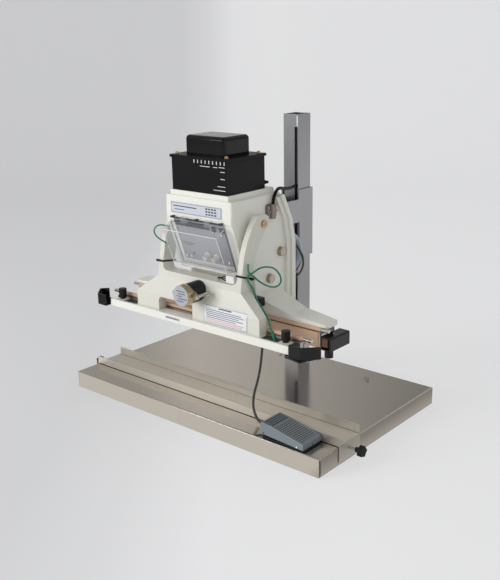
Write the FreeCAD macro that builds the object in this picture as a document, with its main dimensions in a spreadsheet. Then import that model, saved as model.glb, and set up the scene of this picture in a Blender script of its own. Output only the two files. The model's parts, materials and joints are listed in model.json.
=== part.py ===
import FreeCAD, Part
import Sketcher
import math
import os
from types import SimpleNamespace

Vector = FreeCAD.Vector

# Foot pedal sealer: a vertical bag sealer on a post over a sheet steel work table.
# Lengths are in millimetres. The drawing frame has x across the table from its middle,
# y from the table's front edge to the rear and z up from the table's top. Each sub-part's
# Placement then moves it to the part's own origin, on the floor under the middle of the table.

SIZES = {
    # work table, a tray of folded sheet
    "table_width": 800.0,
    "table_depth": 488.0,
    "skirt_depth": 44.0,
    "table_sheet": 2.0,
    "table_bend": 3.0,
    "corner_relief": 7.5,
    "hook_x": 241.0,
    "hook_y": 427.0,
    # product rest, a channel that slides over the table
    "rest_front": 72.0,
    "rest_rear": 154.0,
    "rest_front_height": 21.0,
    "rest_rear_height": 24.0,
    "rest_sheet": 1.5,
    "rest_side_gap": 0.8,
    "rest_lip_depth": 38.0,
    "glide_thickness": 1.1,
    "glide_width": 12.0,
    "moving_gap": 0.3,
    "running_gap": 0.05,
    # clamp knobs at the rest's ends
    "rest_stud_radius": 3.0,
    "rest_stud_y": 109.0,
    "rest_stud_drop": 13.0,
    "rest_stud_reach": 21.0,
    "knob_hub_radius": 6.0,
    "knob_hub_length": 9.0,
    "knob_head_radius": 13.0,
    "knob_head_length": 11.0,
    "knob_lobe_radius": 4.5,
    # post
    "post_width": 48.0,
    "post_inset": 65.0,
    "post_deep": 52.0,
    "post_height": 666.0,
    "post_wall": 3.0,
    "post_slot_width": 9.0,
    "post_slot_low": 60.0,
    "post_slot_high": 634.0,
    "foot_plate_width": 120.0,
    "foot_plate_deep": 60.0,
    "foot_plate_thickness": 6.0,
    "foot_bolt_radius": 4.0,
    "foot_bolt_spread_x": 90.0,
    "foot_bolt_spread_y": 36.0,
    # head bracket, a sleeve on the post with two plates to the casting
    "sleeve_gap": 0.4,
    "sleeve_wall": 4.0,
    "sleeve_low": 295.0,
    "sleeve_high": 475.0,
    "bracket_top": 450.0,
    "bracket_arm_low": 390.0,
    "bracket_plate_width": 130.0,
    "bracket_plate_low": 236.0,
    "bracket_plate_thickness": 4.0,
    "stay_low": 184.0,
    "stay_high": 200.0,
    "height_stud_radius": 5.0,
    "height_stud_z": 345.0,
    "height_stud_reach": 14.0,
    # casting: the housing, its rear rim and the tapered arms, in side view
    "housing_half_width": 105.0,
    "housing_wall": 6.0,
    "ledge_half_width": 91.0,
    "ledge_front": 77.0,
    "ledge_rear": 236.0,
    "ledge_height": 515.0,
    "ledge_drop": 15.0,
    "housing_front": 71.0,
    "panel_top_y": 73.0,
    "panel_top_z": 449.0,
    "panel_low_y": 117.0,
    "panel_low_z": 326.0,
    "throat_height": 318.0,
    "throat_rear": 150.0,
    "casting_underside": 229.5,
    "casting_rear": 287.0,
    "rim_half_width": 119.0,
    "rim_thickness": 14.0,
    "rim_flare": 12.0,
    "arm_tip_x": 311.0,
    "arm_front": 149.0,
    "arm_rear": 215.0,
    "arm_tip_rear": 196.0,
    "arm_tip_height": 9.0,
    "arm_bend_x": 206.0,
    "arm_bend_height": 14.5,
    "arm_root_x": 131.0,
    "arm_root_height": 33.5,
    # swing pivot of the front jaw
    "pivot_y": 148.0,
    "pivot_z": 447.0,
    "pivot_screw_radius": 6.0,
    "pivot_boss_radius": 17.0,
    "pivot_head_radius": 8.5,
    "pivot_head_length": 4.0,
    "jaw_angle": 13.8,
    # yoke, the swinging casting of the front jaw
    "yoke_arm_outer": 134.0,
    "yoke_arm_inner": 119.3,
    "yoke_foot_half_width": 199.0,
    "yoke_foot_low": 216.0,
    "yoke_shoulder_z": 254.0,
    "yoke_knee_z": 301.0,
    "yoke_front": 50.5,
    "yoke_knee_y": 64.0,
    "yoke_foot_rear": 75.5,
    "yoke_knee_rear": 97.5,
    "yoke_web": 9.0,
    "yoke_window_z": 315.0,
    "yoke_window_radius": 15.0,
    "yoke_notch_left": -122.0,
    "yoke_notch_right": -8.0,
    "yoke_notch_height": 34.0,
    "lug_half_width": 5.0,
    "lug_slot": 8.0,
    # front beam and its bar
    "beam_half_length": 290.0,
    "beam_front": 38.0,
    "beam_low": 198.0,
    "beam_wall": 3.0,
    "beam_rear": 70.0,
    "jaw_bar_half_length": 297.0,
    "seal_plane": 143.2,
    "seal_low": 186.0,
    "seal_high": 208.0,
    "ptfe_thickness": 0.8,
    "heater_thickness": 0.4,
    "heater_height": 8.0,
    "rod_radius": 4.2,
    "rod_half_length": 320.5,
    "rod_cover_half_length": 298.0,
    "front_rod_y": 82.2,
    "front_rod_z": 222.8,
    "rear_rod_y": 148.6,
    "rear_rod_z": 226.2,
    "rod_saddle": 0.3,
    "rear_bar_rear": 200.0,
    "rear_bar_low": 184.0,
    "rear_bar_wall": 5.0,
    # front end caps
    "cap_front": 28.0,
    "cap_rear": 80.0,
    "cap_low": 197.0,
    "cap_high": 225.0,
    "cap_start": 297.5,
    "cap_corner_x": 328.0,
    "cap_nose_x": 358.0,
    "cap_nose_y": 60.0,
    "cap_wall": 2.5,
    # thumb nuts on the front beam
    "thumb_nut_x": 266.0,
    "thumb_nut_y": 60.0,
    "thumb_nut_radius": 10.0,
    "thumb_nut_height": 26.0,
    "thumb_stud_radius": 4.0,
    "thumb_flutes": 16,
    # rear end cover with its thumb screw
    "cover_start": 297.5,
    "cover_end": 326.0,
    "cover_front": 145.0,
    "cover_rear": 219.0,
    "cover_low": 180.0,
    "cover_high": 211.0,
    "cover_wall": 2.5,
    "cover_knob_y": 158.0,
    "cover_knob_radius": 10.0,
    "cover_knob_length": 18.0,
    # timing motor on the yoke
    "switch_x": 112.0,
    "switch_y": 133.0,
    "solenoid_x": -45.0,
    "motor_x": 5.0,
    "motor_z": 286.0,
    "motor_radius": 25.0,
    "motor_front": 1.0,
    "motor_can_length": 19.0,
    "motor_plate": 1.5,
    "motor_ear_spread": 34.0,
    "motor_ear_radius": 7.0,
    "gearbox_radius": 24.5,
    "cam_radius": 12.0,
    "cam_length": 8.0,
    "motor_shaft_radius": 3.5,
    # solenoid inside the casting
    "solenoid_z": 270.0,
    "solenoid_front": 168.0,
    "solenoid_rear": 236.0,
    "solenoid_half_width": 27.0,
    "plunger_radius": 8.0,
    "plunger_start": 80.0,
    "plunger_end": 182.0,
    "plunger_travel": 46.5,
    "link_pin_radius": 3.0,
    # transformer
    "box_half_width": 86.0,
    "box_front": 80.0,
    "box_rear": 212.0,
    "box_top": 597.0,
    "box_wall": 2.0,
    "box_flange": 3.0,
    "bell_half_width": 62.0,
    "bell_front": 101.0,
    "bell_rear": 191.0,
    "bell_height": 44.0,
    "bell_radius": 9.0,
    "core_half_width": 50.0,
    "core_front": 106.0,
    "core_rear": 178.0,
    # control panel and what sits on it, measured along the sloping face
    "panel_half_width": 80.0,
    "panel_length": 112.0,
    "panel_drop": 10.0,
    "panel_thickness": 2.0,
    "dial_left_x": 3.5,
    "dial_spacing": 28.0,
    "dial_drop": 91.0,
    "dial_radius": 9.0,
    "dial_length": 17.0,
    "dial_shaft_radius": 3.0,
    "button_left_x": -69.0,
    "button_spacing": 15.0,
    "button_drop": 101.0,
    "button_radius": 3.6,
    "button_length": 4.0,
    "button_travel": 1.5,
    "pot_radius": 9.0,
    "pot_length": 12.0,
    "board_gap": 24.0,
    # clear hood over the panel
    "hood_half_width": 86.0,
    "hood_wall": 2.5,
    "hood_front_y": 39.0,
    "hood_front_z": 426.0,
    "hood_low_y": 73.0,
    "hood_low_z": 337.0,
    "hood_pin_radius": 2.0,
    "hood_pin_y": 64.5,
    "hood_pin_z": 451.5,
    "hood_clearance": 2.8,
    # side bolts and cable clamp
    "bolt_upper_y": 244.5,
    "bolt_upper_z": 359.0,
    "bolt_lower_y": 202.0,
    "bolt_lower_z": 301.0,
    "bolt_flats": 19.0,
    "bolt_head": 8.0,
    "bolt_radius": 6.0,
    "washer_radius": 12.0,
    "washer_thickness": 2.0,
    "gland_y": 207.0,
    "gland_z": 464.0,
    "gland_half_width": 18.0,
    "gland_height": 34.0,
    "gland_depth": 16.0,
    # foot switch on the table
    "pedal_start": 238.0,
    "pedal_length": 118.0,
    "pedal_front": 2.5,
    "pedal_width": 67.0,
    "pedal_heel_height": 38.0,
    "pedal_break": 32.0,
    "pedal_break_height": 35.0,
    "pedal_toe_height": 19.0,
    "pedal_floor": 4.0,
    "pedal_wall": 2.5,
    "pedal_skirt_heel": 11.5,
    "pedal_skirt_toe": 5.0,
    "pedal_pin_inset": 9.0,
    "pedal_pin_height": 10.0,
    "pedal_pin_radius": 2.0,
    "pedal_angle": 3.2,
    # cords
    "pedal_cord_x": 62.0,
    "pedal_cord_y": 245.8,
    "pedal_cord_radius": 3.0,
    "mains_cord_radius": 4.0,
    "earth_wire_radius": 1.25,
    "loom_radius": 4.5,
}


class Size:
    """A number together with the sheet expression that gives it."""

    def __init__(self, number, text):
        self.number = float(number)
        self.text = text

    def __float__(self):
        return self.number

    def __add__(self, other):
        return Size(self.number + float(other), f"({self.text} + {written(other)})")

    def __radd__(self, other):
        return Size(float(other) + self.number, f"({written(other)} + {self.text})")

    def __sub__(self, other):
        return Size(self.number - float(other), f"({self.text} - {written(other)})")

    def __rsub__(self, other):
        return Size(float(other) - self.number, f"({written(other)} - {self.text})")

    def __mul__(self, other):
        return Size(self.number * float(other), f"({self.text} * {written(other)})")

    def __rmul__(self, other):
        return Size(float(other) * self.number, f"({written(other)} * {self.text})")

    def __truediv__(self, other):
        return Size(self.number / float(other), f"({self.text} / {written(other)})")

    def __neg__(self):
        return Size(-self.number, f"(0 - {self.text})")


def written(value):
    """The text of a value inside an expression."""
    return value.text if isinstance(value, Size) else f"({float(value):.9g})"


doc = FreeCAD.newDocument("foot_pedal_sealer")
sheet = doc.addObject("Spreadsheet::Sheet", "sizes")
for row, (alias, number) in enumerate(SIZES.items(), start=1):
    sheet.set(f"A{row}", alias)
    sheet.set(f"B{row}", str(number))
    sheet.setAlias(f"B{row}", alias)
doc.recompute()
S = SimpleNamespace(**{alias: Size(sheet.get(alias), f"sizes.{alias}") for alias in SIZES})
S.post_front = S.table_depth - S.post_inset
S.shoulder_height = S.ledge_height - S.ledge_drop

NODES = []
X_AXIS = Vector(1, 0, 0)
Y_AXIS = Vector(0, 1, 0)
Z_AXIS = Vector(0, 0, 1)
ALONG_X = FreeCAD.Rotation(Y_AXIS, 90)
ALONG_Y = FreeCAD.Rotation(X_AXIS, -90)
ALONG_Z = FreeCAD.Rotation()
TURNS = {"x": ALONG_X, "y": ALONG_Y, "z": ALONG_Z}


def bind(feature, prop, value):
    """Set a property from a size's expression, or from a plain number."""
    if isinstance(value, Size):
        feature.setExpression(prop, value.text)
    else:
        feature.setExpression(prop, written(value))


def place(feature, spot, turn=None):
    """Bind a feature's place and set its turn."""
    rotation = turn if turn is not None else FreeCAD.Rotation()
    feature.Placement = FreeCAD.Placement(Vector(*[float(v) for v in spot]), rotation)
    for axis, value in zip("xyz", spot):
        bind(feature, f"Placement.Base.{axis}", value)
    return feature


def box(name, low, high):
    """A block between two opposite corners."""
    block = doc.addObject("Part::Box", name)
    for prop, start, end in zip(("Length", "Width", "Height"), low, high):
        bind(block, prop, end - start if isinstance(end, Size) or isinstance(start, Size) else float(end) - start)
    return place(block, low)


def rod(name, start, axis, radius, length):
    """A round bar from a point along x, y or z."""
    bar = doc.addObject("Part::Cylinder", name)
    bind(bar, "Radius", radius)
    bind(bar, "Height", length)
    return place(bar, start, TURNS[axis])


def cone(name, start, axis, radius_start, radius_end, length):
    """A tapered round bar from a point along x, y or z."""
    bar = doc.addObject("Part::Cone", name)
    bind(bar, "Radius1", radius_start)
    bind(bar, "Radius2", radius_end)
    bind(bar, "Height", length)
    return place(bar, start, TURNS[axis])


def hexagon(name, start, axis, flats, length):
    """A hexagonal bar, such as a bolt head, from a point along x, y or z."""
    bar = doc.addObject("Part::Prism", name)
    bar.Polygon = 6
    bind(bar, "Circumradius", flats / math.sqrt(3))
    bind(bar, "Height", length)
    return place(bar, start, TURNS[axis])


def fuse(name, *parts):
    """One solid from several that touch or overlap."""
    joined = doc.addObject("Part::MultiFuse", name)
    joined.Shapes = list(parts)
    joined.Refine = True
    return joined


def cut(name, base, *tools):
    """A solid less its tools."""
    result = doc.addObject("Part::Cut", name)
    result.Base = base
    result.Tool = tools[0] if len(tools) == 1 else fuse(name + "_tools", *tools)
    result.Refine = True
    return result


def common(name, *parts):
    """What two solids share."""
    result = doc.addObject("Part::MultiCommon", name)
    result.Shapes = list(parts)
    return result


def together(name, *parts):
    """Separate solids in one group."""
    result = doc.addObject("Part::Compound", name)
    result.Links = list(parts)
    return result


def draw(sketch, corners):
    """Draw a closed outline whose corners are held by sized distances from the sketch's origin."""
    count = len(corners)
    spots = [Vector(float(u), float(v), 0) for u, v in corners]
    first = sketch.GeometryCount
    for index in range(count):
        sketch.addGeometry(Part.LineSegment(spots[index], spots[(index + 1) % count]), False)
    for index in range(count):
        follower = first + (index + 1) % count
        sketch.addConstraint(Sketcher.Constraint("Coincident", first + index, 2, follower, 1))
    for index, (u, v) in enumerate(corners):
        for kind, value in (("DistanceX", u), ("DistanceY", v)):
            held = sketch.addConstraint(Sketcher.Constraint(kind, -1, 1, first + index, 1, float(value)))
            if isinstance(value, Size):
                sketch.setExpression(f"Constraints[{held}]", value.text)


def prism(name, plane, corners, low, high, holes=()):
    """A body padded from an outline in the XY, XZ or YZ plane, between two heights along its normal."""
    body = doc.addObject("PartDesign::Body", name)
    sketch = body.newObject("Sketcher::SketchObject", name + "_outline")
    support = next(item for item in body.Origin.OriginFeatures if item.Role == plane + "_Plane")
    sketch.AttachmentSupport = [(support, "")]
    sketch.MapMode = "FlatFace"
    start = -high if plane == "XZ" else low
    bind(sketch, "AttachmentOffset.Base.z", start if isinstance(start, Size) else float(start))
    draw(sketch, corners)
    for hole in holes:
        draw(sketch, hole)
    pad = body.newObject("PartDesign::Pad", name + "_pad")
    pad.Profile = sketch
    bind(pad, "Length", high - low)
    return body


def round_body(body, radius, test):
    """Fillet a body's edges that pass a test."""
    doc.recompute()
    tip = body.Tip
    names = [f"Edge{index}" for index, edge in enumerate(tip.Shape.Edges, start=1) if test(edge)]
    fillet = body.newObject("PartDesign::Fillet", body.Name + "_fillet")
    fillet.Base = (tip, names)
    bind(fillet, "Radius", radius)
    return body


def round_part(name, base, radius, test):
    """Fillet the edges of a boolean result that pass a test."""
    doc.recompute()
    result = doc.addObject("Part::Fillet", name)
    result.Base = base
    picked = [index for index, edge in enumerate(base.Shape.Edges, start=1) if test(edge)]
    result.Edges = [(index, float(radius), float(radius)) for index in picked]
    return result


def runs(edge, axis):
    """Whether a straight edge lies along a direction."""
    if edge.Curve.TypeId != "Part::GeomLine":
        return False
    return abs(edge.tangentAt(edge.FirstParameter).dot(axis)) > 0.999


def middle(edge):
    """The middle of an edge."""
    return edge.valueAt((edge.FirstParameter + edge.LastParameter) / 2)


def is_near(value, target):
    """Whether a coordinate is at a place."""
    return abs(value - float(target)) < 0.05


def inset(corners, distance):
    """A closed outline moved in from every side by a distance; the corners run either way round."""
    flat = [(float(u), float(v)) for u, v in corners]
    count = len(flat)
    area = sum(flat[i][0] * flat[(i + 1) % count][1] - flat[(i + 1) % count][0] * flat[i][1] for i in range(count))
    side = 1 if area > 0 else -1
    moved = []
    for index, (u, v) in enumerate(corners):
        before = flat[index - 1]
        here = flat[index]
        after = flat[(index + 1) % count]
        normals = []
        for start, end in ((before, here), (here, after)):
            du, dv = end[0] - start[0], end[1] - start[1]
            length = math.hypot(du, dv)
            normals.append((-dv / length * side, du / length * side))
        spread = 1 + normals[0][0] * normals[1][0] + normals[0][1] * normals[1][1]
        shift = ((normals[0][0] + normals[1][0]) / spread, (normals[0][1] + normals[1][1]) / spread)
        moved.append((u + distance * shift[0], v + distance * shift[1]))
    return moved


def panel_lean():
    """How far the panel's face leans back from upright, in degrees."""
    return math.degrees(math.atan2(float(S.panel_low_y - S.panel_top_y), float(S.panel_top_z - S.panel_low_z)))


def leaned_box(name, low, high):
    """A block given along the panel's sloping face: x across, y into the casting, z up the slope."""
    block = box(name, low, high)
    lean = math.radians(panel_lean())
    spot = (low[0], S.panel_top_y + low[1] * math.cos(lean) - low[2] * math.sin(lean),
            S.panel_top_z + low[1] * math.sin(lean) + low[2] * math.cos(lean))
    return place(block, spot, FreeCAD.Rotation(X_AXIS, panel_lean()))


def node(label, feature, at=(0, 0, 0), lean=None):
    """Label a sub-part and move it from the drawing frame to the part's origin."""
    if feature.TypeId in ("Part::Box", "Part::Cylinder", "Part::Cone", "Part::Prism", "Part::Feature"):
        feature = together(label + "_group", feature)
    feature.Label = label
    rotation = FreeCAD.Rotation(X_AXIS, float(lean)) if lean is not None else FreeCAD.Rotation()
    feature.Placement = FreeCAD.Placement(Vector(), rotation)
    bind(feature, "Placement.Base.x", at[0])
    bind(feature, "Placement.Base.y", at[1] - S.table_depth / 2)
    bind(feature, "Placement.Base.z", at[2] + S.skirt_depth)
    NODES.append(feature)
    return feature


def make_table():
    """The folded tray, with a relief gap beside each front corner and a small lanced hook."""
    half = S.table_width / 2
    slab = prism("table_slab", "XY", [(-half, 0), (half, 0), (half, S.table_depth), (-half, S.table_depth)],
                 -S.skirt_depth, 0)
    round_body(slab, S.table_bend, lambda edge: is_near(edge.BoundBox.ZMin, 0) and is_near(edge.BoundBox.ZMax, 0))
    sheet_in = S.table_sheet
    hollow = box("table_hollow", (sheet_in - half, sheet_in, -S.skirt_depth - 1),
                 (half - sheet_in, S.table_depth - sheet_in, -sheet_in))
    reliefs = [box("table_relief_left", (-half - 1, sheet_in, -S.skirt_depth - 1),
                   (sheet_in + 1 - half, sheet_in + S.corner_relief, -S.table_bend)),
               box("table_relief_right", (half - sheet_in - 1, sheet_in, -S.skirt_depth - 1),
                   (half + 1, sheet_in + S.corner_relief, -S.table_bend))]
    bolt_holes = [rod(f"table_bolt_hole_{sx}_{sy}", (S.foot_bolt_spread_x * (sx / 2),
                      S.post_front + S.post_deep / 2 + S.foot_bolt_spread_y * (sy / 2), -S.table_sheet - 1), "z",
                      S.foot_bolt_radius, S.table_sheet + 2) for sx in (-1, 1) for sy in (-1, 1)]
    tray = cut("table_folded", slab, hollow, *reliefs, *bolt_holes)
    loops = [box(f"hook_leg_{index}", (S.hook_x + offset, S.hook_y, -0.5), (S.hook_x + offset + 1.6, S.hook_y + 3, 7))
             for index, offset in enumerate((-6.0, 0.0, 6.0))]
    bar = box("hook_bar", (S.hook_x - 6, S.hook_y, 5.4), (S.hook_x + 7.6, S.hook_y + 3, 7))
    node("table_tray", fuse("table_with_hook", tray, bar, *loops))


def make_post():
    """The square tube with its long corner slot, and the plate and bolts that hold it under the table."""
    half = S.post_width / 2
    rear = S.post_front + S.post_deep
    outer = prism("post_outer", "XY", [(-half, S.post_front), (half, S.post_front), (half, rear), (-half, rear)],
                  0, S.post_height)
    round_body(outer, 1.5, lambda edge: runs(edge, Z_AXIS))
    bore = box("post_bore", (S.post_wall - half, S.post_front + S.post_wall, -1),
               (half - S.post_wall, rear - S.post_wall, S.post_height + 1))
    slot_right = half - S.post_wall
    slot = box("post_slot", (slot_right - S.post_slot_width, S.post_front - 1, S.post_slot_low),
               (slot_right, S.post_front + S.post_wall + 1, S.post_slot_high))
    node("post", cut("post_tube", outer, bore, slot))
    centre = S.post_front + S.post_deep / 2
    plate_top = -S.table_sheet
    plate = box("foot_plate_slab", (-S.foot_plate_width / 2, centre - S.foot_plate_deep / 2,
                                    plate_top - S.foot_plate_thickness),
                (S.foot_plate_width / 2, centre + S.foot_plate_deep / 2, plate_top))
    node("post_foot_plate", plate)
    bolts = []
    for sx in (-1, 1):
        for sy in (-1, 1):
            x = S.foot_bolt_spread_x * (sx / 2)
            y = centre + S.foot_bolt_spread_y * (sy / 2)
            head = cone(f"foot_bolt_head_{sx}_{sy}", (x, y, 0), "z", S.foot_bolt_radius * 1.8,
                        S.foot_bolt_radius * 1.2, 2.2)
            shank = rod(f"foot_bolt_shank_{sx}_{sy}", (x, y, plate_top), "z", S.foot_bolt_radius, S.table_sheet)
            bolts.append(fuse(f"foot_bolt_{sx}_{sy}", head, shank))
    node("post_foot_bolts", together("foot_bolts", *bolts))


def make_rest():
    """The sliding channel with its two upright flanges and hanging end lips, and the strips under it."""
    side = S.table_width / 2 + S.rest_side_gap
    low = S.moving_gap + S.glide_thickness
    high = low + S.rest_sheet
    front, rear = S.rest_front, S.rest_rear
    web = box("rest_web", (-side - S.rest_sheet, front, low), (side + S.rest_sheet, rear, high))
    front_flange = prism("rest_front_flange", "XZ", [
        (-side, low), (side, low), (side, S.rest_front_height), (-side + 6, S.rest_front_height),
        (-side, S.rest_front_height - 6)], front, front + S.rest_sheet)
    rear_flange = box("rest_rear_flange", (-side, rear - S.rest_sheet, low), (side, rear, S.rest_rear_height))
    stud_hole = S.rest_stud_radius + S.running_gap
    lips = []
    for index, start in enumerate((-side - S.rest_sheet, side)):
        slab = box(f"rest_lip_slab_{index}", (start, front, -S.rest_lip_depth), (start + S.rest_sheet, rear, high))
        hole = rod(f"rest_lip_hole_{index}", (start - 1, S.rest_stud_y, -S.rest_stud_drop), "x", stud_hole,
                   S.rest_sheet + 2)
        lips.append(cut(f"rest_lip_{index}", slab, hole))
    node("product_rest", fuse("rest_channel", web, front_flange, rear_flange, *lips))
    half = S.table_width / 2 - S.table_bend
    strips = [box("glide_front", (-half, front, S.moving_gap), (half, front + S.glide_width, low)),
              box("glide_rear", (-half, rear - S.glide_width, S.moving_gap), (half, rear, low))]
    node("rest_glides", together("rest_glide_strips", *strips))


def make_rest_knob(label, sign):
    """A lobed hand knob on a stud that clamps the rest to the side of the table."""
    inner = S.table_width / 2 + S.moving_gap
    hub_start = inner + S.rest_stud_reach
    head_start = hub_start + S.knob_hub_length
    z = -S.rest_stud_drop
    y = S.rest_stud_y

    def bar(name, start, radius, length):
        x = start if sign > 0 else -(start + length)
        return rod(f"{label}_{name}", (x, y, z), "x", radius, length)

    stud = bar("stud", inner, S.rest_stud_radius, S.rest_stud_reach + 4)
    hub = bar("hub", hub_start, S.knob_hub_radius, S.knob_hub_length + 1)
    disc = bar("disc", head_start, S.knob_head_radius - S.knob_lobe_radius / 2, S.knob_head_length)
    lobes = []
    for index in range(5):
        angle = math.radians(72 * index)
        reach = S.knob_head_radius - S.knob_lobe_radius
        x = head_start if sign > 0 else -(head_start + S.knob_head_length)
        lobes.append(rod(f"{label}_lobe_{index}", (x, y + reach * math.cos(angle), z + reach * math.sin(angle)),
                         "x", S.knob_lobe_radius, S.knob_head_length))
    node(label, fuse(label + "_solid", stud, hub, disc, *lobes))


def make_bracket():
    """The sleeve that rides on the post, its two side plates, the plate on the casting's back and a low stay."""
    inner_half = S.post_width / 2 + S.sleeve_gap
    half = inner_half + S.sleeve_wall
    front = S.post_front - S.sleeve_gap - S.sleeve_wall
    inner_rear = S.post_front + S.post_deep + S.sleeve_gap
    rear = inner_rear + S.sleeve_wall
    plate_front = S.casting_rear
    plate_rear = S.casting_rear + S.bracket_plate_thickness
    sides = []
    for index, start in enumerate((-half, inner_half)):
        sides.append(prism(f"bracket_side_{index}", "YZ", [
            (plate_front, S.bracket_arm_low), (front + S.sleeve_wall, S.bracket_arm_low),
            (front + S.sleeve_wall, S.sleeve_low), (rear, S.sleeve_low), (rear, S.sleeve_high),
            (front, S.sleeve_high), (front, S.bracket_top), (plate_front, S.bracket_top)],
            start, start + S.sleeve_wall))
    back = box("bracket_back", (-half, inner_rear, S.sleeve_low), (half, rear, S.sleeve_high))
    bridge = box("bracket_bridge", (-half, front, S.sleeve_low), (half, front + S.sleeve_wall, S.sleeve_low + 24))
    upper_bridge = box("bracket_upper_bridge", (-half, front, S.bracket_arm_low),
                       (half, front + S.sleeve_wall, S.bracket_arm_low + 30))
    plate = box("bracket_plate", (-S.bracket_plate_width / 2, plate_front, S.bracket_plate_low),
                (S.bracket_plate_width / 2, plate_rear, S.bracket_top))
    loom_holes = [rod(f"bracket_loom_hole_{index}", (x, plate_front - 1, z), "y", S.loom_radius + 0.4,
                      S.bracket_plate_thickness + 2) for index, (x, z) in enumerate(((45, 380), (40, 246)))]
    stud_hole = rod("bracket_stud_hole", (-half - 1, S.post_front + S.post_deep / 2, S.height_stud_z), "x",
                    S.height_stud_radius + S.running_gap, S.sleeve_wall + 2)
    shell = fuse("bracket_shell", *sides, back, bridge, upper_bridge, plate)
    stay = prism("stay_strip", "YZ", [
        (plate_rear, S.bracket_plate_low), (plate_rear + 4, S.bracket_plate_low), (plate_rear + 4, S.stay_high + 4),
        (S.post_front - S.sleeve_gap, S.stay_high + 4), (S.post_front - S.sleeve_gap, S.stay_low),
        (S.post_front - S.sleeve_gap - 4, S.stay_low), (S.post_front - S.sleeve_gap - 4, S.stay_high),
        (plate_rear, S.stay_high)], -14, 14)
    tab = box("stay_tab", (-14, plate_rear, S.bracket_plate_low), (14, plate_rear + 4, S.bracket_plate_low + 30))
    node("head_bracket", fuse("bracket_with_stay", cut("bracket_drilled", shell, stud_hole, *loom_holes), stay, tab))


def make_height_knob():
    """The knob that clamps the sleeve to the post from the left."""
    y = S.post_front + S.post_deep / 2
    z = S.height_stud_z
    start = S.post_width / 2 + S.moving_gap
    reach = S.sleeve_gap + S.sleeve_wall + S.height_stud_reach
    stud = rod("height_stud", (-(start + reach), y, z), "x", S.height_stud_radius, reach)
    hub = rod("height_hub", (-(start + reach + 12), y, z), "x", S.knob_hub_radius + 3, 12)
    head = start + reach + 10
    disc = rod("height_disc", (-(head + 12), y, z), "x", S.knob_head_radius + 3, 12)
    lobes = []
    for index in range(5):
        angle = math.radians(72 * index)
        reach_out = S.knob_head_radius + 1
        lobes.append(rod(f"height_lobe_{index}", (-(head + 12), y + reach_out * math.cos(angle),
                         z + reach_out * math.sin(angle)), "x", S.knob_lobe_radius + 1, 12))
    node("height_knob", fuse("height_knob_solid", stud, hub, disc, *lobes))


def casting_side():
    """The housing's side view."""
    return [(S.ledge_front, S.ledge_height), (S.ledge_rear, S.ledge_height), (S.casting_rear - 12, S.shoulder_height - 63),
            (S.casting_rear, 379), (S.casting_rear, S.casting_underside), (S.throat_rear, S.casting_underside),
            (S.throat_rear, S.throat_height), (S.panel_low_y, S.throat_height), (S.panel_low_y, S.panel_low_z),
            (S.panel_top_y, S.panel_top_z), (S.housing_front, S.panel_top_z + 2),
            (S.housing_front + 1, S.shoulder_height)]


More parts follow.
